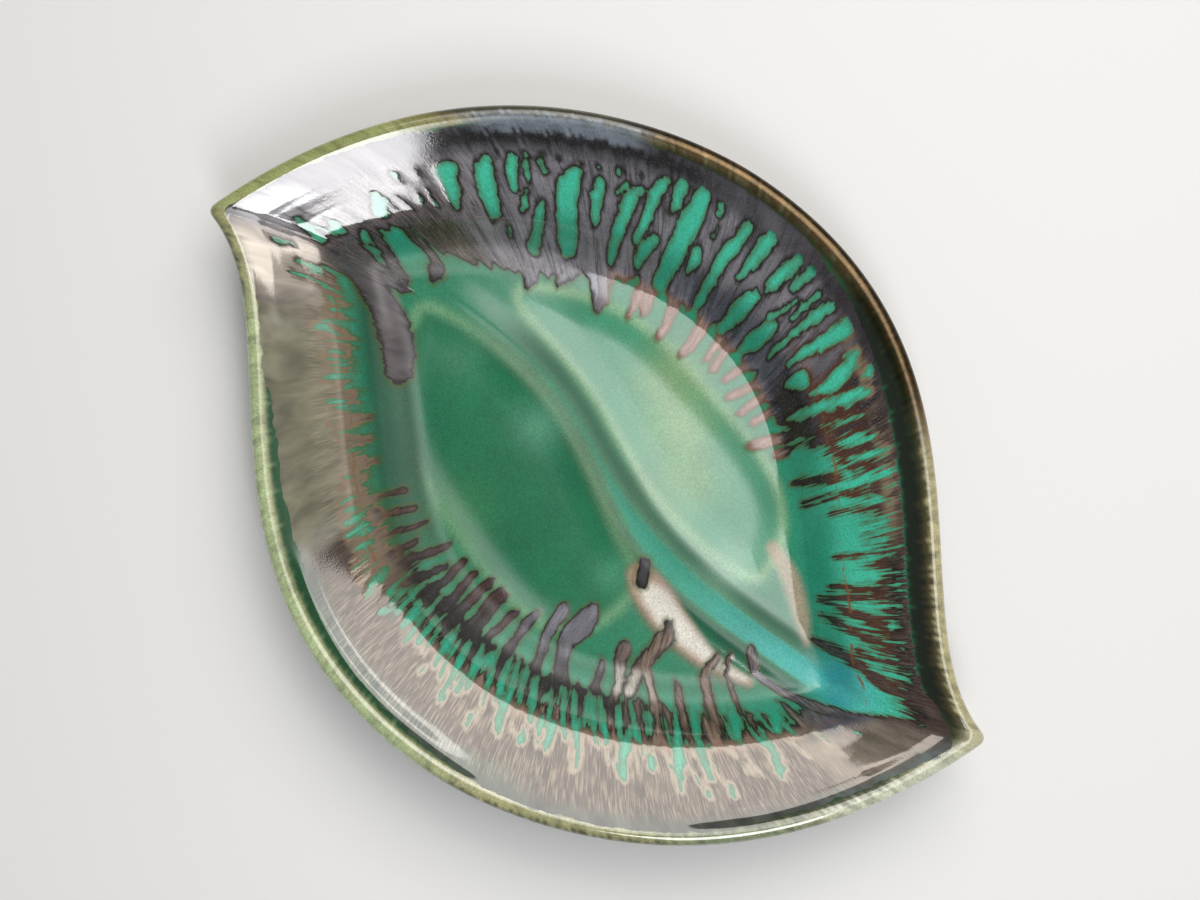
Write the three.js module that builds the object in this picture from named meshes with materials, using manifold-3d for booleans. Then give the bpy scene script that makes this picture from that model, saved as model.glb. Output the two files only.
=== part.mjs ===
// Leaf-shaped serving platter: a slip-cast earthenware body under separate coats of glaze.
// Millimetres, +Z up, +X towards one leaf tip. The origin is on the table, under the middle.
import * as THREE from 'three';
import { mergeVertices } from 'three/addons/utils/BufferGeometryUtils.js';
import Module from 'manifold-3d';

const wasm = await Module();
wasm.setup();

// Overall size of the finished platter
const tipToTip = 350;
const overallWidth = 253;
const overallHeight = 42;

// Rim line: each long edge is two curves that meet where the leaf is widest. One leaves the
// +X tip in a hollow flare, the other comes full and round to the -X tip.
const widestPointX = -10.5;
const flareAngle = THREE.MathUtils.degToRad(167.5);
const flareReach = 54.5;
const shoulderReach = 120;
const backReach = 29;
const tipAngle = THREE.MathUtils.degToRad(250);
const tipReach = 120;
const tipEase = 4;
const tipOverrun = 6;
const curveSteps = 48;
const edgeSteps = 28;

// Rolled lip and the gutter behind it
const lipWidth = 5.5;
const lipCrown = 2.2;
const lipStart = THREE.MathUtils.degToRad(-30);
const lipSteps = 7;
const lipUnderside = 2.6;
const lipUndersideInset = 1.6;
const gutterWidth = 6.5;
const gutterDepth = 2.4;

// Broad upper band of the side, then the steep side of the well. Both narrow at the tips.
const bandWidth = 24;
const bandWidthAtTips = 17;
const bandDrop = 10.5;
const sideWidth = 17;
const sideWidthAtTips = 8;
const sideFootRound = 5;

// Clay thickness, measured upright, and the foot that the platter stands on
const clayThickness = 6;
const footHeight = 4;
const footWidth = 7;
const footTaper = 1.5;

// Midrib: a ridge in an S along the well, with a groove that widens towards the +X tip
const ribOffset = 4.5;
const ribSwing = 22;
const ribLead = 40;
const ribHeight = 2.4;
const ribFlank = 5;
const ribFoot = 0.6;
const ribRoot = 1.8;
const ribStartX = -90;
const ribEndX = 107;
const ribRise = 50;
const ribFall = 22;
const ribSteps = 24;
const grooveNarrow = 1;
const grooveWide = 6.5;
const grooveDepth = 1.8;
const grooveStart = -10;
const grooveFull = 45;

// Two sunk leaf panels, one on each side of the midrib. A low fullness draws an end to a point.
const panelDepth = 2;
const panelCorner = 8;
const panelRound = 4;
const panelSteps = 18;
const leftPanel = { from: -92, to: 37, width: 61, farFullness: 0.5, nearFullness: 0.5, ribGap: 3.5, side: -1 };
const rightPanel = { from: -64, to: 75, width: 44, farFullness: 0.9, nearFullness: 0.4, ribGap: 7.5, side: 1 };

// Coats of glaze, with the clearance that parts them from what they lie on
const coatClearance = 0.3;
const glazeThickness = 0.6;
const runThickness = 0.5;
const footCoatGap = 2;

// Dark glaze poured round the rim: a band, and the runs that come down from it
const runTop = 9;
const runBand = 27;
const runCount = 44;
const runLength = 17;
const runLengthSwing = 8;
const runLongestTurn = 0.22;
const runRipples = 9;
const runRippleShare = 0.5;
const runSharpness = 0.6;
const runSteps = 6;

// Heights and insets that follow from the sizes above
const halfLength = tipToTip / 2;
const halfWidth = overallWidth / 2;
const coat = coatClearance + glazeThickness;
const rimTop = overallHeight - coat;
const lipBase = rimTop - lipCrown;
const gutterBottom = lipBase - gutterDepth;
const bandTop = gutterBottom - gutterDepth / 4;
const bandFoot = bandTop - bandDrop;
const floorTop = footHeight + clayThickness;
const bandStart = lipWidth + gutterWidth;
const bandEnd = bandStart + bandWidth;
const sideEnd = bandEnd + sideWidth;
const skyTop = overallHeight * 2;

// One long edge of the rim, from the +X tip to the -X tip, with the direction that leads inwards.
// The other edge is the same one turned half round.
function drawRimEdge() {
  const tip = new THREE.Vector2(halfLength, 0);
  const farTip = new THREE.Vector2(-halfLength, 0);
  const widest = new THREE.Vector2(widestPointX, halfWidth);
  const leave = new THREE.Vector2(Math.cos(flareAngle), Math.sin(flareAngle)).multiplyScalar(flareReach);
  const arrive = new THREE.Vector2(Math.cos(tipAngle), Math.sin(tipAngle)).multiplyScalar(tipReach);
  const flare = new THREE.CubicBezierCurve(
    tip,
    tip.clone().add(leave),
    widest.clone().setX(widestPointX + shoulderReach),
    widest,
  );
  const back = new THREE.CubicBezierCurve(
    widest,
    widest.clone().setX(widestPointX - backReach),
    farTip.clone().sub(arrive),
    farTip,
  );
  const steps = Array.from({ length: curveSteps + 1 }, (_, i) => i / curveSteps);
  const sample = (curve) => (t) => {
    const ahead = curve.getTangent(t);
    return { point: curve.getPoint(t), inwards: new THREE.Vector2(-ahead.y, ahead.x) };
  };
  return [...steps.map(sample(flare)), ...steps.slice(1).map(sample(back))];
}

const rimEdge = drawRimEdge();

// Where two straight stretches cross, or null
function crossing(a0, a1, b0, b1) {
  const along = a1.clone().sub(a0);
  const other = b1.clone().sub(b0);
  const apart = b0.clone().sub(a0);
  const turn = along.cross(other);
  const s = apart.cross(other) / turn;
  const t = apart.cross(along) / turn;
  return s >= 0 && s <= 1 && t >= 0 && t <= 1 ? a0.clone().addScaledVector(along, s) : null;
}

// The rim edge moved inwards, by tipInset at its ends and by inset between, and cut off where it
// meets its own half turn
function insetEdge(inset, tipInset) {
  const last = rimEdge.length - 1;
  const line = rimEdge.map(({ point, inwards }, i) => {
    const nearTip = Math.abs((2 * i) / last - 1) ** 4;
    return point.clone().addScaledVector(inwards, THREE.MathUtils.lerp(inset, tipInset, nearTip));
  });
  const overrun = (end, before) => end.clone().add(end.clone().sub(before).setLength(tipOverrun));
  line.unshift(overrun(line[0], line[1]));
  line.push(overrun(line.at(-1), line.at(-2)));
  for (let i = 0; i < line.length / 2; i += 1) {
    for (let j = line.length - 2; j > line.length / 2; j -= 1) {
      const corner = crossing(line[i], line[i + 1], line[j].clone().negate(), line[j + 1].clone().negate());
      if (corner) {
        return [corner, ...line.slice(i + 1, j + 1), corner.clone().negate()];
      }
    }
  }
  throw new Error('the two edges of the rim do not meet at the tips');
}

// Points at even steps along a line, leaving out a stretch at both ends
function evenPoints(line, endGap, steps) {
  const marks = [0];
  for (let i = 1; i < line.length; i += 1) {
    marks.push(marks[i - 1] + line[i].distanceTo(line[i - 1]));
  }
  return Array.from({ length: steps + 1 }, (_, k) => {
    const mark = THREE.MathUtils.lerp(endGap, marks.at(-1) - endGap, k / steps);
    const i = marks.findIndex((value) => value >= mark);
    return line[i - 1].clone().lerp(line[i], (mark - marks[i - 1]) / (marks[i] - marks[i - 1]));
  });
}

// Insets at the tips, for the inset at the sides
function tipInsetAt(inset) {
  const onBand = THREE.MathUtils.clamp(inset - bandStart, 0, bandWidth);
  const onSide = Math.max(0, inset - bandEnd);
  const beforeBand = Math.min(inset, bandStart);
  return beforeBand + (onBand * bandWidthAtTips) / bandWidth + (onSide * sideWidthAtTips) / sideWidth;
}

// Closed outline of the leaf at an inset from the edge of the clay, which lies one coat inside
// the rim line. The corners at the tips are eased.
function easedOutline(inset) {
  const line = insetEdge(inset + coat, tipInsetAt(inset) + coat);
  const half = evenPoints(line, tipEase, edgeSteps);
  const next = half[0].clone().negate();
  half.push(new THREE.QuadraticBezierCurve(half.at(-1), line.at(-1), next).getPoint(0.5));
  return [...half, ...half.map((point) => point.clone().negate())];
}

// Easing draws the tips in a little, so every outline is let out again to the overall size
const easedSize = new THREE.Box2().setFromPoints(easedOutline(-coat)).getSize(new THREE.Vector2());
const letOut = new THREE.Vector2(tipToTip, overallWidth).divide(easedSize);

function outlineAt(inset) {
  return easedOutline(inset).map((point) => point.multiply(letOut));
}

function ring([inset, height]) {
  return outlineAt(inset).map((point) => new THREE.Vector3(point.x, point.y, height));
}

// A section moved off itself by the same distance all along, away from the clay
function offsetSection(section, distance) {
  return section.map(([inset, height], i) => {
    const [inset0, height0] = section[Math.max(i - 1, 0)];
    const [inset1, height1] = section[Math.min(i + 1, section.length - 1)];
    const away = new THREE.Vector2(height0 - height1, inset1 - inset0).setLength(distance);
    return [inset + away.x, height + away.y];
  });
}

// Skin over a stack of rings that have equally many points: capped at both ends, or closed
// into a tube whose last ring meets the first. A stack that runs downwards is turned about.
// Each four-sided patch is split along its shorter diagonal.
function loft(rings, { closed = false, downwards = false } = {}) {
  const count = rings[0].length;
  const points = rings.flat();
  const triangles = [];
  const spans = closed ? rings.length : rings.length - 1;
  for (let r = 0; r < spans; r += 1) {
    const low = r * count;
    const high = ((r + 1) % rings.length) * count;
    for (let i = 0; i < count; i += 1) {
      const next = (i + 1) % count;
      const rising = points[low + i].distanceTo(points[high + next]);
      const falling = points[low + next].distanceTo(points[high + i]);
      if (rising < falling) {
        triangles.push([low + i, low + next, high + next], [low + i, high + next, high + i]);
      } else {
        triangles.push([low + i, low + next, high + i], [low + next, high + next, high + i]);
      }
    }
  }
  const capRing = (index) => {
    const middle = new THREE.Vector3();
    rings[index].forEach((point) => middle.addScaledVector(point, 1 / count));
    const hub = points.push(middle) - 1;
    const start = index * count;
    return rings[index].map((_, i) => [hub, start + i, start + ((i + 1) % count)]);
  };
  if (!closed) {
    triangles.push(...capRing(0).map(([hub, from, to]) => [hub, to, from]));
    triangles.push(...capRing(rings.length - 1));
  }
  const geometry = new THREE.BufferGeometry().setFromPoints(points);
  geometry.setIndex(triangles.flatMap(([a, b, c]) => (downwards ? [a, c, b] : [a, b, c])));
  return geometry;
}

function toSolid(geometry) {
  const bare = geometry.clone();
  bare.deleteAttribute('normal');
  bare.deleteAttribute('uv');
  const merged = mergeVertices(bare);
  return new wasm.Manifold(new wasm.Mesh({
    numProp: 3,
    vertProperties: Float32Array.from(merged.attributes.position.array),
    triVerts: Uint32Array.from(merged.index.array),
  }));
}

function toGeometry(solid) {
  const { vertProperties, triVerts } = solid.getMesh();
  const geometry = new THREE.BufferGeometry();
  geometry.setAttribute('position', new THREE.BufferAttribute(Float32Array.from(vertProperties), 3));
  geometry.setIndex(new THREE.BufferAttribute(Uint32Array.from(triVerts), 1));
  geometry.computeVertexNormals();
  return geometry;
}

// Upper face in section, from the outside of the lip to the floor: [inset, height] pairs
const lipSection = Array.from({ length: lipSteps + 1 }, (_, i) => {
  const angle = THREE.MathUtils.lerp(lipStart, Math.PI, i / lipSteps);
  return [(lipWidth / 2) * (1 - Math.cos(angle)), lipBase + lipCrown * Math.sin(angle)];
});
const sideSteepness = (bandFoot - floorTop) / sideWidth;
const upperSection = [
  ...lipSection,
  [lipWidth + gutterWidth * 0.3, gutterBottom + gutterDepth * 0.3],
  [lipWidth + gutterWidth * 0.6, gutterBottom],
  [bandStart, bandTop],
  [bandEnd, bandFoot],
  [sideEnd - sideFootRound, floorTop + sideSteepness * sideFootRound],
  [sideEnd - sideFootRound * 0.2, floorTop + sideSteepness * sideFootRound * 0.35],
  [sideEnd + sideFootRound, floorTop],
  [sideEnd + sideFootRound * 2, floorTop],
];

// Underside in section, from beside the foot out to below the lip
const footTop = floorTop - clayThickness + footTaper;
const footEdge = sideEnd - footTaper;
const footInner = footEdge + footWidth + 2 * footTaper;
const coatStop = footEdge - footCoatGap;
const underSteepness = (bandFoot - clayThickness - footTop) / (footEdge - bandEnd);
const lowerSection = [
  [coatStop, footTop + footCoatGap * underSteepness],
  [bandEnd - clayThickness * 0.35, bandFoot - clayThickness * 0.9],
  [bandStart, bandTop - clayThickness],
  [lipUndersideInset, lipBase - lipUnderside],
];

// Line of the midrib, and half the width of its groove
function ribLine(x) {
  return ribOffset - ribSwing * Math.tanh(x / ribLead);
}

function ribSlope(x) {
  return -ribSwing / (ribLead * Math.cosh(x / ribLead) ** 2);
}

function grooveHalf(x) {
  return THREE.MathUtils.lerp(grooveNarrow, grooveWide, THREE.MathUtils.smoothstep(x, grooveStart, grooveFull));
}

// The midrib swollen by margin, from its root below the floor
function midrib(margin) {
  const foot = floorTop - ribFoot + margin;
  const sections = [];
  for (let i = 0; i <= ribSteps; i += 1) {
    const x = THREE.MathUtils.lerp(ribStartX, ribEndX, i / ribSteps);
    const across = new THREE.Vector2(-ribSlope(x), 1).normalize();
    const rise = THREE.MathUtils.smoothstep(x, ribStartX, ribStartX + ribRise);
    const fade = rise * (1 - THREE.MathUtils.smoothstep(x, ribEndX - ribFall, ribEndX));
    const crest = foot + ribFoot + ribHeight * fade;
    const groove = crest - (grooveDepth * grooveHalf(x) * fade) / grooveWide;
    const half = grooveHalf(x) + ribFlank + margin;
    const place = ([offset, height]) => new THREE.Vector3(
      x + across.x * offset,
      ribLine(x) + across.y * offset,
      height,
    );
    const near = [
      [half, floorTop - ribRoot],
      [half, foot],
      [(half + grooveHalf(x)) / 2, (foot + crest) / 2],
      [grooveHalf(x), crest],
    ];
    const far = near.map(([offset, height]) => [-offset, height]).reverse();
    sections.push([...near, [0, groove], ...far].map(place));
  }
  return toSolid(loft(sections));
}

// Outline of a sunk panel, drawn in by inset: one edge runs beside the midrib, the other bows out
function panelRing({ from, to, width, farFullness, nearFullness, ribGap, side }, inset, height) {
  const bow = (share) => share ** farFullness * (1 - share) ** nearFullness;
  const fullest = bow(farFullness / (farFullness + nearFullness));
  const points = [];
  for (let i = 0; i < 2 * panelSteps; i += 1) {
    const share = (1 - Math.cos((Math.PI * i) / panelSteps)) / 2;
    const beside = panelCorner * (1 - (1 - (1 - 2 * share) ** 4) ** 0.25);
    const bowed = panelCorner + ((width - panelCorner) * bow(share)) / fullest;
    const across = (i <= panelSteps ? beside : bowed) / width;
    const x = THREE.MathUtils.lerp(from + inset, to - inset, share);
    const start = (ribGap + grooveHalf(x)) * Math.hypot(1, ribSlope(x));
    const away = start + THREE.MathUtils.lerp(inset, width - inset, across);
    points.push(new THREE.Vector3(x, ribLine(x) + side * away, height));
  }
  return side > 0 ? points : points.reverse();
}

// Both panels, drawn in and raised by margin
function sunkPanels(margin) {
  const bottom = floorTop - panelDepth + margin;
  const recesses = [leftPanel, rightPanel].map((panel) => toSolid(loft([
    panelRing(panel, panelRound + margin, bottom),
    panelRing(panel, panelRound * 0.5 + margin, bottom + panelDepth * 0.3),
    panelRing(panel, margin, bottom + panelDepth),
    panelRing(panel, margin, floorTop + ribHeight + margin),
  ])));
  return recesses[0].add(recesses[1]);
}

// Clay body: one section from the middle of the underside, round the lip, to the floor
function clayBody() {
  const section = [
    [footInner, footHeight],
    [footInner - footTaper, 0],
    [footEdge + footTaper, 0],
    [footEdge, footTop],
    ...lowerSection,
    ...upperSection,
  ];
  return toSolid(loft(section.map(ring))).subtract(sunkPanels(0)).add(midrib(0));
}

// Open space over the upper face, from a distance off the clay up to the sky. Round the rim it
// stands out by spread, and there it starts lower by skirt.
function spaceOver(distance, spread, skirt) {
  const section = offsetSection(upperSection, distance);
  const [edgeInset, edgeHeight] = section[0];
  const rings = [
    ring([edgeInset - spread, skyTop]),
    ring([edgeInset - spread, edgeHeight - skirt]),
    ...(skirt > 0 ? [ring([edgeInset, edgeHeight - skirt])] : []),
    ...section.map(ring),
  ];
  const open = toSolid(loft(rings, { downwards: true }));
  return open.add(sunkPanels(distance)).subtract(midrib(distance));
}

// A coat that follows the upper face, between two distances off the clay
function coatOver(low, high) {
  return spaceOver(low, 2 * coat, 0).subtract(spaceOver(high, 3 * coat, coat));
}

// Plan of the dark glaze: a band inside the lip whose inner edge comes down in runs
function runInset(turn) {
  const fullTurn = 2 * Math.PI;
  const ripple = runRippleShare * Math.sin(fullTurn * runRipples * turn);
  const swing = Math.cos(fullTurn * (turn - runLongestTurn)) + ripple;
  const lobe = Math.max(0, Math.sin(fullTurn * runCount * turn)) ** runSharpness;
  return runBand + (runLength + runLengthSwing * swing) * lobe;
}

function runPlan() {
  const samples = runCount * runSteps;
  const inner = Array.from({ length: samples }, (_, i) => {
    const turn = i / samples;
    const outline = outlineAt(runInset(turn));
    const place = turn * outline.length;
    const index = Math.floor(place);
    return outline[index].clone().lerp(outline[(index + 1) % outline.length], place - index);
  });
  const plan = new THREE.Shape(outlineAt(runTop));
  plan.holes.push(new THREE.Path(inner));
  return new THREE.ExtrudeGeometry(plan, { depth: skyTop, bevelEnabled: false });
}

function faceGlaze() {
  return coatOver(coatClearance, coat);
}

function runGlaze() {
  const low = coat + coatClearance;
  return coatOver(low, low + runThickness).intersect(toSolid(runPlan()));
}

// Glaze on the outside of the side, from beside the foot to below the lip
function backGlaze() {
  const outside = offsetSection(lowerSection, coat).map(ring);
  const inside = offsetSection(lowerSection, coatClearance).map(ring).reverse();
  return toSolid(loft([...outside, ...inside], { closed: true }));
}

// Glaze on the underside, within the foot
function baseGlaze() {
  const inset = footInner + coatClearance;
  const top = footHeight - coatClearance;
  return toSolid(loft([ring([inset, top - glazeThickness]), ring([inset, top])]));
}

const buffClay = new THREE.MeshStandardMaterial({ color: 0xd8c4a4, roughness: 0.9, metalness: 0 });
const greenGlaze = new THREE.MeshStandardMaterial({ color: 0x2f9a72, roughness: 0.12, metalness: 0 });
const darkGlaze = new THREE.MeshStandardMaterial({ color: 0x4a444a, roughness: 0.18, metalness: 0.1 });
const backGreen = new THREE.MeshStandardMaterial({ color: 0x3f5a34, roughness: 0.15, metalness: 0 });

function piece(name, solid, material) {
  const mesh = new THREE.Mesh(toGeometry(solid), material);
  mesh.name = name;
  return mesh;
}

const platter = new THREE.Group();
platter.add(
  piece('clay_body', clayBody(), buffClay),
  piece('face_glaze', faceGlaze(), greenGlaze),
  piece('run_glaze', runGlaze(), darkGlaze),
  piece('back_glaze', backGlaze(), backGreen),
  piece('base_glaze', baseGlaze(), backGreen),
);

export default platter;
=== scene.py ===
"""Leaf-shaped serving platter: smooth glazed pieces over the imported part.

Sizes in the classes are millimetres. Meshes are in metres, in the part's own frame: +Z up, +X
towards one leaf tip, the origin on the table under the middle.
"""
import logging
import math
from dataclasses import dataclass, field
from enum import Enum
from typing import Any, ClassVar, Optional

import bpy
import numpy as np
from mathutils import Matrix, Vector


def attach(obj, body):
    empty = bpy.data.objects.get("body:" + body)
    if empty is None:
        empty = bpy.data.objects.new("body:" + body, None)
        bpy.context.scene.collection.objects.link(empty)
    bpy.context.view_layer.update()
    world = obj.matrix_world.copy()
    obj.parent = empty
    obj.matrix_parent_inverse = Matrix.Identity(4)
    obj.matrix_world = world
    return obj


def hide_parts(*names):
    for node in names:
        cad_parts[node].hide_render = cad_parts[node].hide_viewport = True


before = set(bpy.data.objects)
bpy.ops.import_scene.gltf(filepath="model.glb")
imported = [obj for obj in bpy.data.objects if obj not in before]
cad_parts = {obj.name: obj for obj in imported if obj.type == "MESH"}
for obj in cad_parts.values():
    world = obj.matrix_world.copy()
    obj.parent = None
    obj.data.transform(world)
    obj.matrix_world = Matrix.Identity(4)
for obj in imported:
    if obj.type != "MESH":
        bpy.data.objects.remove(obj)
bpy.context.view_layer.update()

log = logging.getLogger("platter")

MM = 0.001
BODY = "root"
SEED = 41
FAR_OFF = 1e3
TINY = 1e-9
PARALLEL = 1e-12
WELD = 1e-6

SRGB_TOE = 0.04045
SRGB_SLOPE = 12.92
SRGB_OFFSET = 0.055
SRGB_POWER = 2.4

# Inputs and output of the node that mixes two colours
MIX_SHARE = 0
MIX_BASE = 6
MIX_OVER = 7
MIX_RESULT = 2

# Where most of a noise's values lie, and all of them
NOISE_SPAN = (0.3, 0.7)
WHOLE_SPAN = (0.0, 1.0)

Array = np.ndarray
Tree = bpy.types.NodeTree
Socket = bpy.types.NodeSocket
Piece = bpy.types.Object
Material = bpy.types.Material
Span = tuple[float, float]
Stroke = tuple[tuple[float, float, float], ...]


class Layer(Enum):
    """Names of the surface layers that the finishes read from a piece."""

    FLOW = "flow"
    RUN = "run"
    GROUND = "ground"
    TONE = "tone"
    EDGE = "edge"
    SATIN = "satin"
    THIN = "thin"
    INSET = "inset"
    STREAK = "streak"
    FRAY = "fray"
    SWIRL = "swirl"
    LUSTRE = "lustre"


class Kind(Enum):
    """Kinds of shader node that the finishes use."""

    MAP = "ShaderNodeUVMap"
    PLACE = "ShaderNodeTexCoord"
    LAYER = "ShaderNodeAttribute"
    FIT = "ShaderNodeMapping"
    NOISE = "ShaderNodeTexNoise"
    RANGE = "ShaderNodeMapRange"
    MATH = "ShaderNodeMath"
    VECTOR = "ShaderNodeVectorMath"
    MIX = "ShaderNodeMix"
    BUMP = "ShaderNodeBump"
    SURFACE = "ShaderNodeBsdfPrincipled"
    OUTPUT = "ShaderNodeOutputMaterial"


class Sum(Enum):
    """Sums that the finishes use."""

    TIMES = "MULTIPLY"
    PLUS = "ADD"
    SIZE = "ABSOLUTE"


class Side(Enum):
    """The two sides of the midrib."""

    LEFT = -1
    RIGHT = 1


def linear(code: str) -> tuple[float, float, float, float]:
    """Turns an sRGB hex colour into linear values.

    Args:
        code: Colour such as "#3db58b".

    Returns:
        Red, green and blue, and an alpha of 1.
    """
    parts = [int(code[i:i + 2], 16) / 255 for i in (1, 3, 5)]
    curve = [p / SRGB_SLOPE if p <= SRGB_TOE else ((p + SRGB_OFFSET) / (1 + SRGB_OFFSET)) ** SRGB_POWER
             for p in parts]
    return (*curve, 1.0)


def add_node(
    tree: Tree,
    kind: Kind,
    settings: Optional[dict[str, Any]] = None,
    inputs: Optional[dict[Any, Any]] = None,
    out: Any = 0,
) -> Optional[Socket]:
    """Adds a node, sets its properties and fills its inputs.

    Args:
        tree: Node tree of the material.
        kind: Kind of the node.
        settings: Properties of the node.
        inputs: Input name or index, with a number to set or an output to link.
        out: Name or index of the wanted output.

    Returns:
        The wanted output, or None for a node without outputs.
    """
    node = tree.nodes.new(kind.value)
    for key, value in (settings or {}).items():
        setattr(node, key, value)
    for key, value in (inputs or {}).items():
        if isinstance(value, Socket):
            tree.links.new(value, node.inputs[key])
        else:
            node.inputs[key].default_value = value
    return node.outputs[out] if node.outputs else None


def new_tree(name: str) -> tuple[Material, Tree]:
    """Makes a material with an empty node tree.

    Args:
        name: Name of the finish.

    Returns:
        The material and its tree.
    """
    made = bpy.data.materials.new(name)
    made.use_nodes = True
    made.node_tree.nodes.clear()
    return made, made.node_tree


def ranged(tree: Tree, value: Socket, source: Span,
           target: Span = WHOLE_SPAN, soft: bool = False) -> Socket:
    """Fits a value from one range into another.

    Args:
        tree: Node tree of the material.
        value: Output to fit.
        source: Range that it comes from.
        target: Range that it goes to.
        soft: Whether it eases at both ends.

    Returns:
        The fitted value.
    """
    settings = {"interpolation_type": "SMOOTHSTEP"} if soft else {}
    return add_node(tree, Kind.RANGE, settings, dict(enumerate((value, *source, *target))))


def summed(tree: Tree, kind: Sum, *values: Any) -> Socket:
    """Works out a sum.

    Args:
        tree: Node tree of the material.
        kind: Kind of the sum.
        values: Outputs or numbers.

    Returns:
        The result.
    """
    return add_node(tree, Kind.MATH, {"operation": kind.value}, dict(enumerate(values)))


def overlaid(tree: Tree, share: Socket, base: Any, over: Any) -> Socket:
    """Lays one colour over another.

    Args:
        tree: Node tree of the material.
        share: How much of the upper colour shows.
        base: Lower colour, as an output or a hex colour.
        over: Upper colour, as an output or a hex colour.

    Returns:
        The mixed colour.
    """
    base, over = [linear(part) if isinstance(part, str) else part for part in (base, over)]
    return add_node(tree, Kind.MIX, {"data_type": "RGBA"},
                    {MIX_SHARE: share, MIX_BASE: base, MIX_OVER: over}, MIX_RESULT)


def shaded(tree: Tree, colour: Socket,
           shade: Socket) -> Socket:
    """Returns a colour made darker or lighter by a shade."""
    return add_node(tree, Kind.VECTOR, {"operation": "SCALE"}, {0: colour, "Scale": shade})


def raised(tree: Tree, height: Socket, relief: Span,
           below: Optional[Socket] = None) -> Socket:
    """Adds a fine relief.

    Args:
        tree: Node tree of the material.
        height: Output that gives the height.
        relief: Strength, and height in millimetres.
        below: Relief that it lies on.

    Returns:
        The normal.
    """
    strength, high = relief
    inputs = {"Strength": strength, "Distance": high * MM, "Height": height}
    if below is not None:
        inputs["Normal"] = below
    return add_node(tree, Kind.BUMP, inputs=inputs)


def even_noise(tree: Tree, place: Socket, size: float,
               detail: int) -> Socket:
    """Adds a noise of the same size each way.

    Args:
        tree: Node tree of the material.
        place: Output that gives the place.
        size: Size of its clouds in millimetres.
        detail: Number of finer layers.

    Returns:
        The noise.
    """
    return add_node(tree, Kind.NOISE, inputs={"Vector": place, "Scale": 1 / (size * MM), "Detail": detail})


def smooth(low: float, high: float, value: Array) -> Array:
    """Returns a soft step from 0 at low to 1 at high."""
    share = np.clip((value - low) / (high - low), 0, 1)
    return share * share * (3 - 2 * share)


def bump(value: Array, width: float) -> Array:
    """Returns a soft bump that is 1 where value is 0 and fades over width."""
    return np.exp(-((value / width) ** 2))


def mixed(base: Array, code: str, share: Array) -> Array:
    """Lays a colour over a field of colours.

    Args:
        base: Linear colours, one row each.
        code: Hex colour to lay over them.
        share: How much of it shows, for each row.

    Returns:
        The mixed colours.
    """
    return base + (np.array(linear(code)[:3]) - base) * np.clip(share, 0, 1)[:, None]


def plain(code: str, count: int) -> Array:
    """Returns rows of one linear colour."""
    return np.tile(np.array(linear(code)[:3]), (count, 1))


def even_points(line: Array, marks: Array) -> Array:
    """Finds points along a line.

    Args:
        line: Points of the line.
        marks: Distances along it, as shares of its length.

    Returns:
        One point for each mark.
    """
    steps = np.hypot(*np.diff(line, axis=0).T)
    length = np.concatenate([[0], np.cumsum(steps)])
    return np.stack([np.interp(marks * length[-1], length, line[:, k]) for k in (0, 1)], axis=1)


def soft_union(a: Array, b: Array, blend: float) -> Array:
    """Joins two depths with a fillet of about blend between them."""
    near = np.clip(blend - np.abs(a - b), 0, None) / blend
    return np.maximum(a, b) + near * near * blend / 4


def curved(stroke: Array, parts: int = 5) -> Array:
    """Draws a smooth line through the rows of a stroke.

    Args:
        stroke: Rows of x, y and half width.
        parts: Steps between two rows.

    Returns:
        More rows, on a curve through the first ones.
    """
    if len(stroke) < 3:
        return stroke
    ends = np.concatenate([[2 * stroke[0] - stroke[1]], stroke, [2 * stroke[-1] - stroke[-2]]])
    share = (np.arange(parts) / parts)[:, None]
    rows = []
    for a, b, c, d in zip(ends[:-3], ends[1:-2], ends[2:-1], ends[3:]):
        rows.append(b + share * (c - a) / 2 + share**2 * (a - 2.5 * b + 2 * c - d / 2)
                    + share**3 * (1.5 * (b - c) + (d - a) / 2))
    return np.concatenate([*rows, stroke[-1:]])


def stroke_depth(points: Array, stroke: Array) -> Array:
    """Measures how deep points lie inside a stroke of changing width.

    Args:
        points: Points in the plane.
        stroke: Rows of x, y and half width.

    Returns:
        Depth of each point, below 0 outside.
    """
    depth = np.full(len(points), -FAR_OFF)
    stroke = curved(stroke)
    for start, end in zip(stroke[:-1], stroke[1:]):
        axis = end[:2] - start[:2]
        share = np.clip((points - start[:2]) @ axis / max(axis @ axis, TINY), 0, 1)
        gap = np.hypot(*(points - start[:2] - share[:, None] * axis).T)
        depth = np.maximum(depth, start[2] + (end[2] - start[2]) * share - gap)
    return depth


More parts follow.
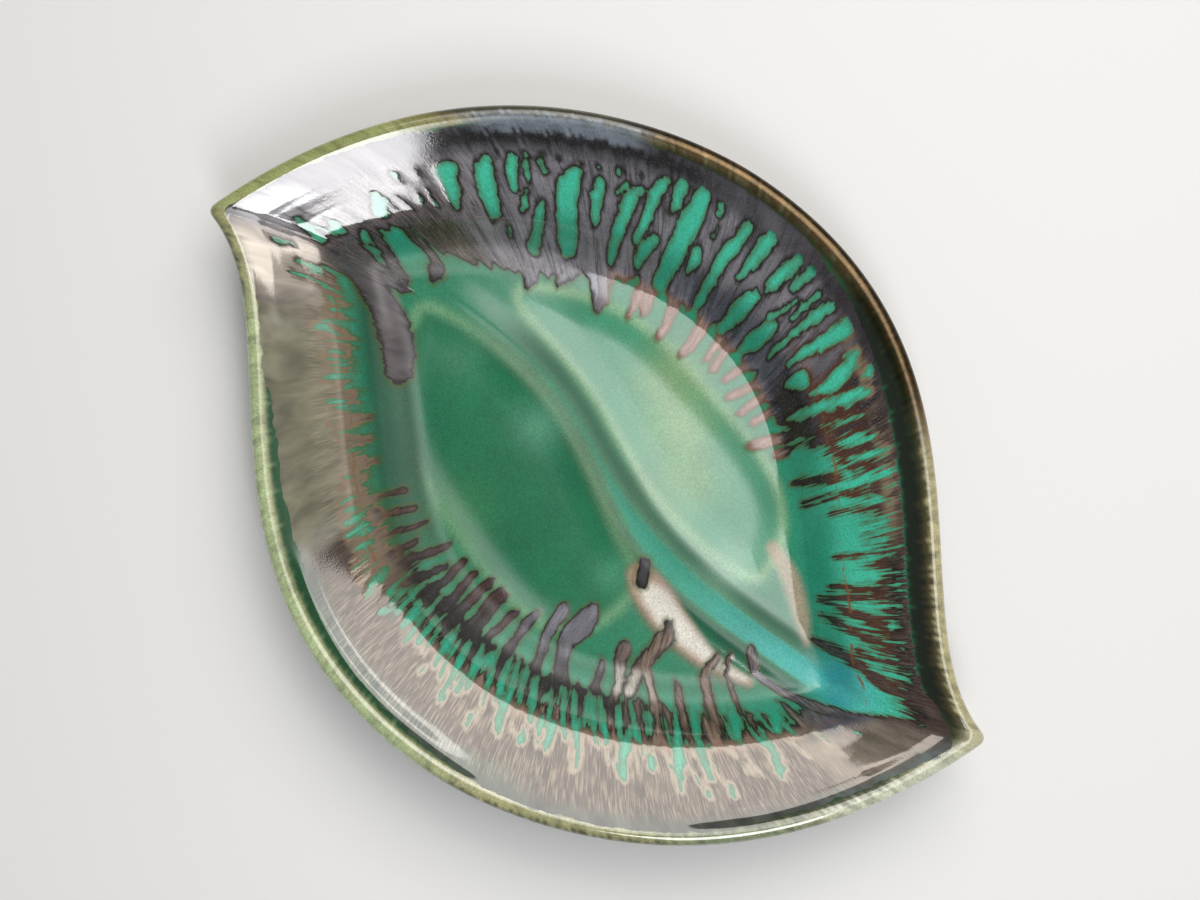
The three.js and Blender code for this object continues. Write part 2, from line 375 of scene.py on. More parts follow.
@dataclass
class LeafPlan:
    """Plan of the leaf: closed outlines at any inset from the edge of the clay."""

    tip_to_tip: float = 350.0
    overall_width: float = 253.0
    widest_x: float = -10.5
    flare_angle: float = 167.5
    flare_reach: float = 54.5
    shoulder_reach: float = 120.0
    back_reach: float = 29.0
    tip_angle: float = 250.0
    tip_reach: float = 120.0
    tip_ease: float = 4.0
    tip_overrun: float = 6.0
    band_start: float = 12.0
    band_width: float = 24.0
    band_width_at_tips: float = 17.0
    side_width: float = 17.0
    side_width_at_tips: float = 8.0
    coat: float = 0.9
    tip_power: int = 4
    steps: int = 160
    edge_points: int = 500
    corner_points: int = 13
    measuring_columns: int = 1200
    points: Array = field(init=False)
    inwards: Array = field(init=False)
    let_out: Array = field(init=False)

    def __post_init__(self) -> None:
        """Draws one long edge of the rim and measures it."""
        half = self.tip_to_tip / 2
        tip = np.array([half, 0.0])
        widest = np.array([self.widest_x, self.overall_width / 2])
        heading = [np.array([math.cos(a), math.sin(a)])
                   for a in np.radians([self.flare_angle, self.tip_angle])]
        flare = [tip, tip + heading[0] * self.flare_reach,
                 widest + [self.shoulder_reach, 0], widest]
        back = [widest, widest - [self.back_reach, 0],
                -tip - heading[1] * self.tip_reach, -tip]
        share = np.linspace(0, 1, self.steps + 1)[:, None]
        rest = 1 - share
        rows = []
        for a, b, c, d in (flare, back):
            point = rest**3 * a + 3 * rest**2 * share * b + 3 * rest * share**2 * c + share**3 * d
            ahead = rest**2 * (b - a) + 2 * rest * share * (c - b) + share**2 * (d - c)
            ahead /= np.hypot(*ahead.T)[:, None]
            rows.append((point, np.stack([-ahead[:, 1], ahead[:, 0]], axis=1)))
        self.points = np.concatenate([rows[0][0], rows[1][0][1:]])
        self.inwards = np.concatenate([rows[0][1], rows[1][1][1:]])
        self.let_out = np.ones(2)
        size = np.ptp(self.outline(-self.coat, self.measuring_columns), axis=0)
        self.let_out = np.array([self.tip_to_tip, self.overall_width]) / size

    def tip_inset(self, inset: float) -> float:
        """Turns an inset at the sides into the inset at the tips.

        Args:
            inset: Inset at the sides.

        Returns:
            Inset at the tips.
        """
        band_end = self.band_start + self.band_width
        on_band = min(max(inset - self.band_start, 0), self.band_width)
        on_side = max(0, inset - band_end)
        narrowed = on_band * self.band_width_at_tips / self.band_width
        return min(inset, self.band_start) + narrowed + on_side * self.side_width_at_tips / self.side_width

    def inset_edge(self, inset: float, tip_inset: float) -> Array:
        """Moves the rim edge inwards and cuts it off where it meets its own half turn.

        Args:
            inset: Distance between the tips.
            tip_inset: Distance at the tips.

        Returns:
            Points from the corner at the +X tip to the one at the -X tip.
        """
        place = np.linspace(-1, 1, len(self.points)) ** self.tip_power
        line = self.points + self.inwards * (inset + (tip_inset - inset) * place)[:, None]
        first = line[0] - line[1]
        last = line[-1] - line[-2]
        line = np.concatenate([
            [line[0] + first / np.hypot(*first) * self.tip_overrun],
            line,
            [line[-1] + last / np.hypot(*last) * self.tip_overrun],
        ])
        middle = len(line) // 2
        a0, a1 = line[:middle, None], line[1:middle + 1, None]
        b0, b1 = -line[None, middle:-1], -line[None, middle + 1:]
        along, other, apart = a1 - a0, b1 - b0, b0 - a0
        turn = along[..., 0] * other[..., 1] - along[..., 1] * other[..., 0]
        turn = np.where(np.abs(turn) < PARALLEL, PARALLEL, turn)
        s = (apart[..., 0] * other[..., 1] - apart[..., 1] * other[..., 0]) / turn
        t = (apart[..., 0] * along[..., 1] - apart[..., 1] * along[..., 0]) / turn
        i, j = np.argwhere((s >= 0) & (s <= 1) & (t >= 0) & (t <= 1))[0]
        corner = line[i] + (line[i + 1] - line[i]) * s[i, j]
        return np.concatenate([[corner], line[i + 1:middle + j + 1], [-corner]])

    def outline(self, inset: float, columns: int) -> Array:
        """Draws a closed outline with eased corners, from the +X tip round by +Y.

        Args:
            inset: Distance from the edge of the clay, at the sides.
            columns: Number of even steps round the leaf.

        Returns:
            Points, with the first one repeated at the end.
        """
        line = self.inset_edge(inset + self.coat, self.tip_inset(inset) + self.coat)
        length = np.hypot(*np.diff(line, axis=0).T).sum()
        gap = self.tip_ease / length
        half = even_points(line, np.linspace(gap, 1 - gap, self.edge_points))
        share = np.linspace(0, 1, self.corner_points)[:, None]
        bend = (1 - share)**2 * half[-1] + 2 * share * (1 - share) * line[-1] - share**2 * half[0]
        middle = self.corner_points // 2
        loop = np.concatenate([-bend[middle:], half[1:], bend[1:], -half[1:], -bend[1:middle + 1]])
        return even_points(loop, np.linspace(0, 1, columns + 1)) * self.let_out


@dataclass
class DishSection:
    """Section of the dish: heights and insets of the upper face and the underside."""

    overall_height: float = 42.0
    coat: float = 0.9
    lip_width: float = 5.5
    lip_crown: float = 2.2
    lip_from: float = -62.0
    lip_to: float = 150.0
    lip_steps: int = 20
    gutter_width: float = 6.5
    gutter_depth: float = 2.4
    band_width: float = 24.0
    band_drop: float = 10.5
    band_swell: float = 0.2
    side_tuck: float = 2.4
    side_width: float = 17.0
    clay_thickness: float = 6.0
    foot_height: float = 4.0
    foot_width: float = 7.0
    foot_taper: float = 1.5
    floor_margin: float = 10.0
    gutter_wall: float = 0.3
    gutter_middle: float = 0.6
    gutter_rounds: Span = (0.9, 1.2)
    band_rounds: tuple[float, float, float] = (1.6, 9.0, 4.5)
    floor_round: float = 4.2
    outside_stop: float = 2.0
    outside_bend: Span = (0.35, 0.9)
    outside_rounds: Span = (6.0, 8.0)
    lip_under: Span = (1.6, 2.6)
    foot_margin: float = 3.0
    foot_rounds: Span = (1.0, 0.6)
    round_points: ClassVar[int] = 9
    smoothings: int = 2

    def __post_init__(self) -> None:
        """Works out the heights and insets that follow from the sizes."""
        self.lip_base = self.overall_height - self.coat - self.lip_crown
        self.gutter_bottom = self.lip_base - self.gutter_depth
        self.band_top = self.gutter_bottom - self.gutter_depth / 4
        self.band_foot = self.band_top - self.band_drop
        self.floor_top = self.foot_height + self.clay_thickness
        self.band_start = self.lip_width + self.gutter_width
        self.band_end = self.band_start + self.band_width
        self.side_end = self.band_end + self.side_width
        self.floor_inset = self.side_end + self.floor_margin
        self.foot_edge = self.side_end - self.foot_taper
        self.foot_inner = self.foot_edge + self.foot_width + 2 * self.foot_taper
        self.foot_top = self.foot_height + self.foot_taper

    @classmethod
    def rounded(cls, corners: list[tuple[float, float, float]]) -> Array:
        """Rounds the corners of a section.

        Args:
            corners: Inset, height and setback of each corner.

        Returns:
            Points of the rounded line.
        """
        points = [np.array(corners[0][:2])]
        for before, here, after in zip(corners[:-2], corners[1:-1], corners[2:]):
            middle = np.array(here[:2])
            ends = []
            for other in (before, after):
                away = np.array(other[:2]) - middle
                ends.append(middle + away / np.hypot(*away) * min(here[2], np.hypot(*away) / 2))
            for share in np.linspace(0, 1, cls.round_points):
                points.append((1 - share)**2 * ends[0] + 2 * share * (1 - share) * middle
                              + share**2 * ends[1])
        points.append(np.array(corners[-1][:2]))
        return np.array(points)

    @staticmethod
    def moved_off(line: Array, distance: float) -> Array:
        """Moves a section off itself, to the left of its direction.

        Args:
            line: Points of the section.
            distance: How far it moves.

        Returns:
            The moved points.
        """
        ahead = np.gradient(line, axis=0)
        ahead /= np.hypot(*ahead.T)[:, None]
        return line + np.stack([-ahead[:, 1], ahead[:, 0]], axis=1) * distance

    def upper(self, distance: float, step: float) -> Array:
        """Draws the upper face, from below the lip to the floor.

        Args:
            distance: How far it lies off the clay.
            step: Spacing of its points.

        Returns:
            Rows of inset and height.
        """
        angle = np.radians(np.linspace(self.lip_from, self.lip_to, self.lip_steps))
        lip = np.stack([
            self.lip_width / 2 - (self.lip_width / 2 + distance) * np.cos(angle),
            self.lip_base + (self.lip_crown + distance) * np.sin(angle),
        ], axis=1)
        middle = (self.band_start + self.band_end) / 2
        inner = self.rounded([
            (self.lip_width, self.lip_base, 0),
            (self.lip_width + self.gutter_width * self.gutter_wall,
             self.gutter_bottom + self.gutter_depth * self.gutter_wall, self.gutter_rounds[0]),
            (self.lip_width + self.gutter_width * self.gutter_middle, self.gutter_bottom,
             self.gutter_rounds[1]),
            (self.band_start, self.band_top, self.band_rounds[0]),
            (middle, (self.band_top + self.band_foot) / 2 + self.band_swell, self.band_rounds[1]),
            (self.band_end, self.band_foot, self.band_rounds[2]),
            (self.side_end - self.side_tuck, self.floor_top, self.floor_round),
            (self.floor_inset, self.floor_top, 0),
        ])
        line = np.concatenate([lip, self.moved_off(inner, distance)[1:]])
        length = np.hypot(*np.diff(line, axis=0).T).sum()
        line = even_points(line, np.linspace(0, 1, int(length / step) + 1))
        for _ in range(self.smoothings):
            line[1:-1] = (line[:-2] + 2 * line[1:-1] + line[2:]) / 4
        return line

    def lower(self, distance: float) -> Array:
        """Draws the outside, from beside the foot to below the lip.

        Args:
            distance: Distance off the clay.

        Returns:
            Rows of inset and height.
        """
        steep = (self.band_foot - self.clay_thickness - self.foot_top) / (self.foot_edge - self.band_end)
        inwards, down = self.outside_bend
        line = self.rounded([
            (self.foot_edge - self.outside_stop, self.foot_top + self.outside_stop * steep, 0),
            (self.band_end - self.clay_thickness * inwards, self.band_foot - self.clay_thickness * down,
             self.outside_rounds[0]),
            (self.band_start, self.band_top - self.clay_thickness, self.outside_rounds[1]),
            (self.lip_under[0], self.lip_base - self.lip_under[1], 0),
        ])
        return self.moved_off(line, distance)


@dataclass
class Midrib:
    """Winding rib of the well, with a groove that widens towards the +X tip."""

    offset: float = 4.5
    swing: float = 22.0
    lead: float = 40.0
    height: float = 1.6
    flank: float = 9.5
    start_x: float = -92.0
    end_x: float = 128.0
    rise: float = 60.0
    fall: float = 22.0
    groove_narrow: float = 1.0
    groove_wide: float = 4.6
    groove_depth: float = 1.2
    groove_start: float = -10.0
    groove_full: float = 45.0
    groove_ease: float = 0.4
    groove_power: float = 1.5
    flank_start: float = 0.8

    def line(self, x: Array) -> Array:
        """Returns y of the rib's middle line."""
        return self.offset - self.swing * np.tanh(x / self.lead)

    def slope(self, x: Array) -> Array:
        """Returns the slope of the rib's middle line."""
        return -self.swing / (self.lead * np.cosh(x / self.lead) ** 2)

    def groove_half(self, x: Array) -> Array:
        """Returns half the width of the groove."""
        widening = smooth(self.groove_start, self.groove_full, x)
        return self.groove_narrow + (self.groove_wide - self.groove_narrow) * widening

    def away(self, x: Array, y: Array) -> Array:
        """Returns the distance from the middle line, below 0 on the -Y side."""
        return (y - self.line(x)) / np.hypot(1, self.slope(x))

    def strength(self, x: Array) -> Array:
        """Returns how far the rib has risen at x, from 0 to 1."""
        return smooth(self.start_x, self.start_x + self.rise, x) * (
            1 - smooth(self.end_x - self.fall, self.end_x, x))

    def relief(self, x: Array, y: Array) -> Array:
        """Measures the rib's height over the floor.

        Args:
            x: Places along the platter.
            y: Places across it.

        Returns:
            Height, below 0 in the groove.
        """
        away = np.abs(self.away(x, y))
        half = self.groove_half(x)
        flank = 1 - smooth(half * self.flank_start, half + self.flank, away)
        bowl = np.clip(1 - (away / (half + self.groove_ease)) ** 2, 0, 1) ** self.groove_power
        groove = bowl * half / self.groove_wide
        return self.strength(x) * (self.height * flank - self.groove_depth * groove)


@dataclass
class SunkPanel:
    """Shallow leaf panel sunk in the floor beside the midrib."""

    rib: Midrib
    side: Side
    start: float
    end: float
    width: float
    far_fullness: float
    near_fullness: float
    rib_gap: float
    corner: float = 8.0
    corner_power: int = 4
    depth: float = 0.8
    fade_lead: float = 2.0
    fade: float = 26.0
    round_out: float = 5.0
    round_in: float = 12.0

    def outline(self, steps: int = 60) -> Array:
        """Draws the panel's edge.

        Args:
            steps: Points along each long side.

        Returns:
            Closed outline, without a repeated point.
        """
        turn = np.arange(2 * steps) / steps
        share = (1 - np.cos(np.pi * turn)) / 2
        x = self.start + (self.end - self.start) * share
        top = self.far_fullness / (self.far_fullness + self.near_fullness)
        fullest = top**self.far_fullness * (1 - top)**self.near_fullness
        bow = share**self.far_fullness * np.clip(1 - share, 0, 1)**self.near_fullness / fullest
        full = np.clip(1 - (1 - 2 * share) ** self.corner_power, 0, 1)
        beside = self.corner * (1 - full ** (1 / self.corner_power))
        across = np.where(turn <= 1, beside, self.corner + (self.width - self.corner) * bow)
        first = (self.rib_gap + self.rib.groove_half(x)) * np.hypot(1, self.rib.slope(x))
        return np.stack([x, self.rib.line(x) + self.side.value * (first + across)], axis=1)

    def sunk(self, points: Array) -> Array:
        """Measures how deep the panel lies, with soft edges and a soft start.

        Args:
            points: Points in plan.

        Returns:
            Depth below the floor.
        """
        faded = smooth(self.start - self.fade_lead, self.start + self.fade, points[:, 0])
        return self.depth * faded * smooth(-self.round_out, self.round_in, self.inside(points))

    def inside(self, points: Array) -> Array:
        """Measures how far points lie inside the panel.

        Args:
            points: Points in plan.

        Returns:
            Distance from the panel's edge, below 0 outside.
        """
        edge = self.outline()
        gap = np.full(len(points), FAR_OFF)
        odd = np.zeros(len(points), bool)
        for a, b in zip(edge, np.roll(edge, -1, axis=0)):
            axis = b - a
            share = np.clip((points - a) @ axis / max(axis @ axis, TINY), 0, 1)
            gap = np.minimum(gap, np.hypot(*(points - a - share[:, None] * axis).T))
            between = (a[1] > points[:, 1]) != (b[1] > points[:, 1])
            rise = b[1] - a[1] if abs(b[1] - a[1]) > TINY else TINY
            odd ^= between & (points[:, 0] < a[0] + (points[:, 1] - a[1]) / rise * axis[0])
        return np.where(odd, gap, -gap)


@dataclass(frozen=True)
class RimTable:
    """A value that changes round the rim, given at a few turns."""

    turns: tuple[float, ...]
    values: tuple[float, ...]

    def at(self, turn: Array) -> Array:
        """Returns the value at each turn."""
        return np.interp(np.mod(turn, 1), self.turns, self.values)


@dataclass(frozen=True)
class Zone:
    """Part of the rim, with soft edges."""

    turns: Span
    insets: Span
    strength: float = 0.9
    turn_soft: float = 0.018
    inset_soft: float = 3.0

    def share(self, turn: Array, inset: Array) -> Array:
        """Measures how strongly the zone covers each point.

        Args:
            turn: Place of each point round the rim.
            inset: Inset of each point.

        Returns:
            Shares from 0 to the zone's strength.
        """
        low, high = self.turns
        middle = (low + high) / 2
        off = np.abs(np.mod(turn - middle + 0.5, 1) - 0.5)
        half = (high - low) / 2
        across = 1 - smooth(half - self.turn_soft, half + self.turn_soft, off)
        first, last = self.insets
        return self.strength * (across * smooth(first - self.inset_soft, first + self.inset_soft, inset) * (
            1 - smooth(last - self.inset_soft, last + self.inset_soft, inset)))


Patch = tuple[str, Zone]


def laid(base: Array, patches: tuple[Patch, ...], turn: Array, inset: Array) -> Array:
    """Lays patches of colour over colours, one after another.

    Args:
        base: Linear colours, one row for each point.
        patches: Hex colours, each with its zone.
        turn: Place of each point round the rim.
        inset: Inset of each point.

    Returns:
        The new colours.
    """
    for code, zone in patches:
        base = mixed(base, code, zone.share(turn, inset))
    return base


@dataclass(frozen=True)
class SlitZone:
    """Part of the rim where the dark glaze is split by fine slits along its flow."""

    turns: Span
    spacing: float
    tops: Span
    ends: Span
    halves: Span


@dataclass
class PouredGlaze:
    """Dark glaze poured round the rim: it runs down, leaves green islands and ends in drops.

    Strokes are rows of turn, inset and half width. Trails are rows of x, y and half width.
    """

    girth: float = 760.0
    island_growth: float = 0.4
    phases: int = 12
    wave_growth: float = 0.37
    wave_scale: float = 2.2
    hem_waves: Stroke = ((1.6, 11, 0), (1.0, 34, 3))
    slit_lean: Span = (-0.002, 0.003)
    slit_ends: Span = (0.6, 0.7)
    slit_gaps: Span = (0.6, 1.4)
    cut_blends: Span = (0.6, 0.8)
    run_blends: Span = (1.5, 2.5)
    trail_blend: float = 2.0
    trail_inset: float = 16.0
    stroke_reach: float = 12.0
    outside: float = -30.0
    deepest: float = 20.0
    top: RimTable = RimTable(
        (0.0, 0.008, 0.02, 0.12, 0.16, 0.20, 0.23, 0.40, 0.50, 0.57, 0.59, 0.66, 0.72, 0.765, 0.78, 0.88,
         0.93, 0.97, 0.99, 1.0),
        (8, 8, 12, 12.5, 11.5, 9, 6.5, 6.5, 4, 5, 8, 10, 8, 6, 4.5, 4.5, 6.5, 6, 4, 8))
    pooling: RimTable = RimTable(
        (0.0, 0.01, 0.03, 0.18, 0.23, 0.50, 0.56, 0.60, 0.755, 0.785, 0.87, 0.90, 0.96, 0.985, 1.0),
        (0.6, 0.2, 0, 0, 1, 1, 0.9, 0, 0, 0.9, 0.9, 0.3, 0.3, 0.9, 0.6))
    hem: RimTable = RimTable(
        (0.0, 0.05, 0.07, 0.11, 0.13, 0.15, 0.165, 0.18, 0.30, 0.34, 0.37, 0.40, 0.425, 0.44, 0.452, 0.455,
         0.47, 0.49, 0.50, 0.508, 0.515, 0.60, 0.65, 0.69, 0.72, 0.86, 0.90, 0.95, 0.975, 0.99, 1.0),
        (21, 21, 18, 18, 30, 36, 46, 51, 51, 55, 58, 61, 58, 56, 53, 40, 36, 44, 56, 52, 36, 37, 38, 43,
         49, 50, 48, 44, 42, 34, 26))
    crispness: RimTable = RimTable(
        (0.0, 0.02, 0.10, 0.14, 0.17, 0.51, 0.53, 0.64, 0.70, 0.97, 1.0),
        (0.5, 0.3, 0.25, 0.4, 1.0, 1.0, 0.45, 0.45, 0.9, 0.9, 0.5))
    fray: RimTable = RimTable(
        (0.0, 0.02, 0.13, 0.17, 0.22, 0.50, 0.53, 0.68, 0.74, 0.88, 0.98, 1.0),
        (0.7, 1.0, 0.9, 0.4, 0.1, 0.1, 0.5, 0.5, 0.35, 0.35, 0.3, 0.7))
    islands: tuple[Stroke, ...] = (
        ((0.0215, 16, 0.6), (0.023, 22, 1.6), (0.0245, 28, 2.2)),
        ((0.048, 16.5, 0.9), (0.047, 19, 0.7)),
        ((0.0575, 15.5, 0.9), (0.057, 24, 2.0), (0.0565, 33, 1.6)),
        ((0.093, 16, 1.3), (0.0955, 30, 2.9)),
        ((0.114, 15, 0.9), (0.114, 18, 0.7)),
        ((0.120, 16.5, 2.1), (0.1215, 28, 2.6), (0.125, 44, 2.1)),
        ((0.1305, 15.5, 0.9), (0.1322, 22, 1.8), (0.1345, 28, 1.2)),
        ((0.1398, 20, 1.3), (0.1425, 25, 1.8), (0.1455, 32, 0.9)),
        ((0.1425, 41, 2.6), (0.148, 45, 3.9), (0.152, 47, 2.9)),
        ((0.1515, 21, 0.5), (0.156, 33, 0.7)),
        ((0.160, 17, 1.2), (0.1637, 24, 2.5), (0.168, 33, 2.2), (0.1715, 40, 2.3), (0.1745, 46.5, 1.0)),
        ((0.167, 14.5, 1.7), (0.168, 17, 1.3)),
        ((0.1765, 19, 2.6), (0.1757, 25, 3.5), (0.1757, 30, 2.6), (0.178, 36, 0.7)),
        ((0.1785, 16, 0.8), (0.182, 21, 0.8)),
        ((0.186, 37, 2.1), (0.189, 38, 3.4), (0.192, 41.5, 1.8)),
        ((0.1902, 15.5, 2.9), (0.1928, 20, 3.1), (0.1957, 26, 2.7), (0.1985, 32, 2.0), (0.201, 38.5, 0.8)),
        ((0.2025, 15.5, 1.4), (0.206, 20, 2.2), (0.208, 26, 2.0), (0.2108, 33, 1.2), (0.2135, 43, 0.9)),
        ((0.2118, 17, 0.8), (0.2145, 23, 0.9), (0.2165, 29, 0.5)),
        ((0.2195, 24, 0.4), (0.223, 30, 0.8), (0.227, 35, 1.0)),
        ((0.2205, 13.5, 1.5), (0.2235, 20, 1.5), (0.2245, 22.5, 0.9)),
        ((0.2215, 35.5, 1.4), (0.2245, 40, 3.4), (0.2275, 45, 3.4), (0.230, 49.5, 2.4)),
        ((0.229, 14, 1.7), (0.2325, 20, 2.4), (0.235, 26, 2.3), (0.2365, 30, 0.9)),
        ((0.241, 34, 2.0), (0.2435, 38, 3.4), (0.2465, 44, 3.4), (0.2495, 49.5, 2.6)),
        ((0.2453, 14.5, 2.1), (0.2478, 20, 2.7), (0.2505, 26, 2.1), (0.2535, 33, 0.7)),
        ((0.2575, 16, 1.7), (0.2625, 25, 2.4), (0.2656, 30, 2.6), (0.2685, 40, 2.2), (0.2715, 49.5, 2.0)),
        ((0.2738, 15.5, 1.4), (0.2745, 18.5, 0.9)),
        ((0.2733, 22.5, 0.5), (0.2745, 26, 0.5)),
        ((0.2805, 32, 1.0), (0.2815, 36, 2.4), (0.284, 41, 0.8)),
        ((0.2828, 16, 2.6), (0.285, 20, 3.3), (0.2883, 26, 4.0), (0.2925, 34, 4.0),
         (0.2955, 41, 4.0), (0.300, 49, 3.8)),
        ((0.294, 15.5, 2.1), (0.2962, 20, 2.1), (0.299, 25, 0.7)),
        ((0.3025, 16, 1.6), (0.307, 20, 2.0), (0.310, 26, 2.0), (0.3145, 33, 1.8), (0.3185, 39, 1.5)),
        ((0.308, 37, 1.7), (0.313, 41, 2.6), (0.317, 46, 2.2)),
        ((0.316, 21.5, 1.3), (0.3205, 25, 2.3), (0.3255, 32, 2.6), (0.3307, 40, 2.3), (0.335, 48.5, 1.8)),
        ((0.326, 17, 0.7), (0.327, 19, 0.6)),
        ((0.3235, 22, 0.7), (0.328, 25, 0.5)),
        ((0.337, 23.5, 1.7), (0.340, 28, 2.1), (0.3425, 34, 1.9), (0.344, 38, 0.9)),
        ((0.348, 21, 1.4), (0.353, 25, 3.3), (0.3572, 30, 4.2), (0.360, 37, 4.3),
         (0.3635, 46, 4.3), (0.3655, 49.5, 2.6)),
        ((0.3657, 19.5, 1.4), (0.3657, 22.5, 1.1)),
        ((0.3735, 20, 0.7), (0.376, 27, 0.6)),
        ((0.3715, 33, 0.8), (0.3765, 38, 1.9), (0.381, 43, 1.8), (0.386, 48.5, 2.2), (0.390, 51, 1.7)),
        ((0.3785, 18.5, 1.7), (0.3815, 22, 2.1), (0.3838, 26, 1.9), (0.386, 29.5, 0.9)),
        ((0.3795, 30, 0.7), (0.3825, 34, 0.9), (0.386, 37, 0.7)),
        ((0.3915, 18.5, 1.4), (0.3965, 24, 3.0), (0.400, 30, 3.5), (0.4025, 36, 2.8), (0.406, 40, 1.3)),
        ((0.398, 43.5, 1.0), (0.400, 46, 0.9)),
        ((0.410, 20, 1.8), (0.4145, 22, 3.1), (0.417, 27, 2.9), (0.420, 31, 2.1), (0.423, 36, 0.8)),
        ((0.4275, 19.5, 0.6), (0.428, 21, 0.5)),
        ((0.4375, 19, 1.0), (0.439, 22, 0.8)),
        ((0.4535, 24, 1.0), (0.458, 29, 2.3), (0.4615, 31.5, 2.0)),
        ((0.484, 29, 1.1), (0.4875, 32.5, 2.0)),
        ((0.4915, 21, 1.1), (0.4945, 26, 1.3), (0.4985, 33, 1.1)),
        ((0.4785, 36, 0.9), (0.4875, 44, 1.0)),
        ((0.508, 17, 1.0), (0.507, 23, 0.7)),
        ((0.516, 23, 0.8), (0.5175, 30, 1.3)),
        ((0.523, 20, 0.8), (0.5245, 27, 0.8)),
        ((0.5495, 23, 0.4), (0.549, 29, 1.9)),
        ((0.565, 25, 0.5), (0.568, 35, 1.4)),
        ((0.577, 27, 0.6), (0.578, 30, 0.5)),
        ((0.662, 28, 0.8), (0.662, 36, 2.0)),
        ((0.692, 27, 0.7), (0.692, 30, 1.0)),
        ((0.705, 28.5, 1.6), (0.7075, 31, 0.9)),
        ((0.7555, 23.5, 1.2), (0.756, 30, 0.8)),
        ((0.763, 28.5, 1.2), (0.7625, 34, 0.9)),
        ((0.767, 40, 1.8), (0.7745, 44, 3.0)),
        ((0.7725, 21, 0.9), (0.7735, 24, 0.9)),
        ((0.789, 25, 1.4), (0.789, 34, 1.9)),
        ((0.8005, 26, 0.8), (0.8025, 25, 1.5), (0.8035, 28.5, 0.7)),
        ((0.811, 29, 0.6), (0.813, 34, 1.6)),
        ((0.813, 41, 1.4), (0.8165, 44, 1.5)),
        ((0.816, 26, 1.5), (0.8195, 34, 1.5)),
        ((0.8215, 42, 0.8), (0.8235, 47, 1.0)),
        ((0.831, 22, 0.4), (0.834, 29, 0.6)),
        ((0.8385, 37, 0.7), (0.8415, 46, 1.6)),
        ((0.8545, 22.5, 1.6), (0.859, 31, 1.9), (0.866, 40, 0.9)),
        ((0.8715, 27, 1.2), (0.874, 31, 1.0)),
        ((0.876, 39, 1.0), (0.879, 44, 2.2)),
        ((0.881, 19.5, 0.9), (0.887, 29, 2.1), (0.895, 42, 1.3), (0.902, 56, 0.6)),
        ((0.893, 17, 0.6), (0.894, 19.5, 0.6)),
        ((0.8985, 23, 0.9), (0.901, 34, 1.1)),
        ((0.9035, 36, 1.3), (0.907, 44, 2.4), (0.9125, 54, 1.8)),
        ((0.904, 16, 0.5), (0.906, 20, 0.6)),
        ((0.9195, 23.5, 0.7), (0.920, 26, 0.6)),
        ((0.926, 37, 1.4), (0.931, 43, 2.8), (0.9375, 53, 2.0), (0.947, 66, 1.2)),
        ((0.9305, 19, 0.8), (0.9345, 25, 1.9), (0.9385, 31, 1.4), (0.9435, 44, 0.7)),
        ((0.950, 38, 1.8), (0.957, 44, 3.0), (0.961, 50, 1.8)),
        ((0.957, 55, 1.3), (0.9605, 64, 1.6)),
    )
    slits: tuple[SlitZone, ...] = (
        SlitZone((0.0, 0.112), 2.6, (13.5, 22), (26, 37), (0.25, 0.75)),
        SlitZone((0.112, 0.165), 4.2, (17, 26), (30, 44), (0.3, 0.8)),
        SlitZone((0.315, 0.385), 7.0, (15, 18), (17, 19.5), (0.3, 0.6)),
        SlitZone((0.42, 0.495), 6.0, (24, 30), (31, 36), (0.3, 0.8)),
        SlitZone((0.515, 0.70), 4.2, (26, 32), (35, 42), (0.6, 1.7)),
        SlitZone((0.69, 0.875), 6.0, (29, 35.5), (46, 54), (1.2, 2.8)),
        SlitZone((0.74, 0.985), 11.0, (18, 27), (27, 36), (0.2, 0.5)),
        SlitZone((0.875, 0.97), 7.0, (31, 37), (48, 62), (0.8, 2.0)),
    )
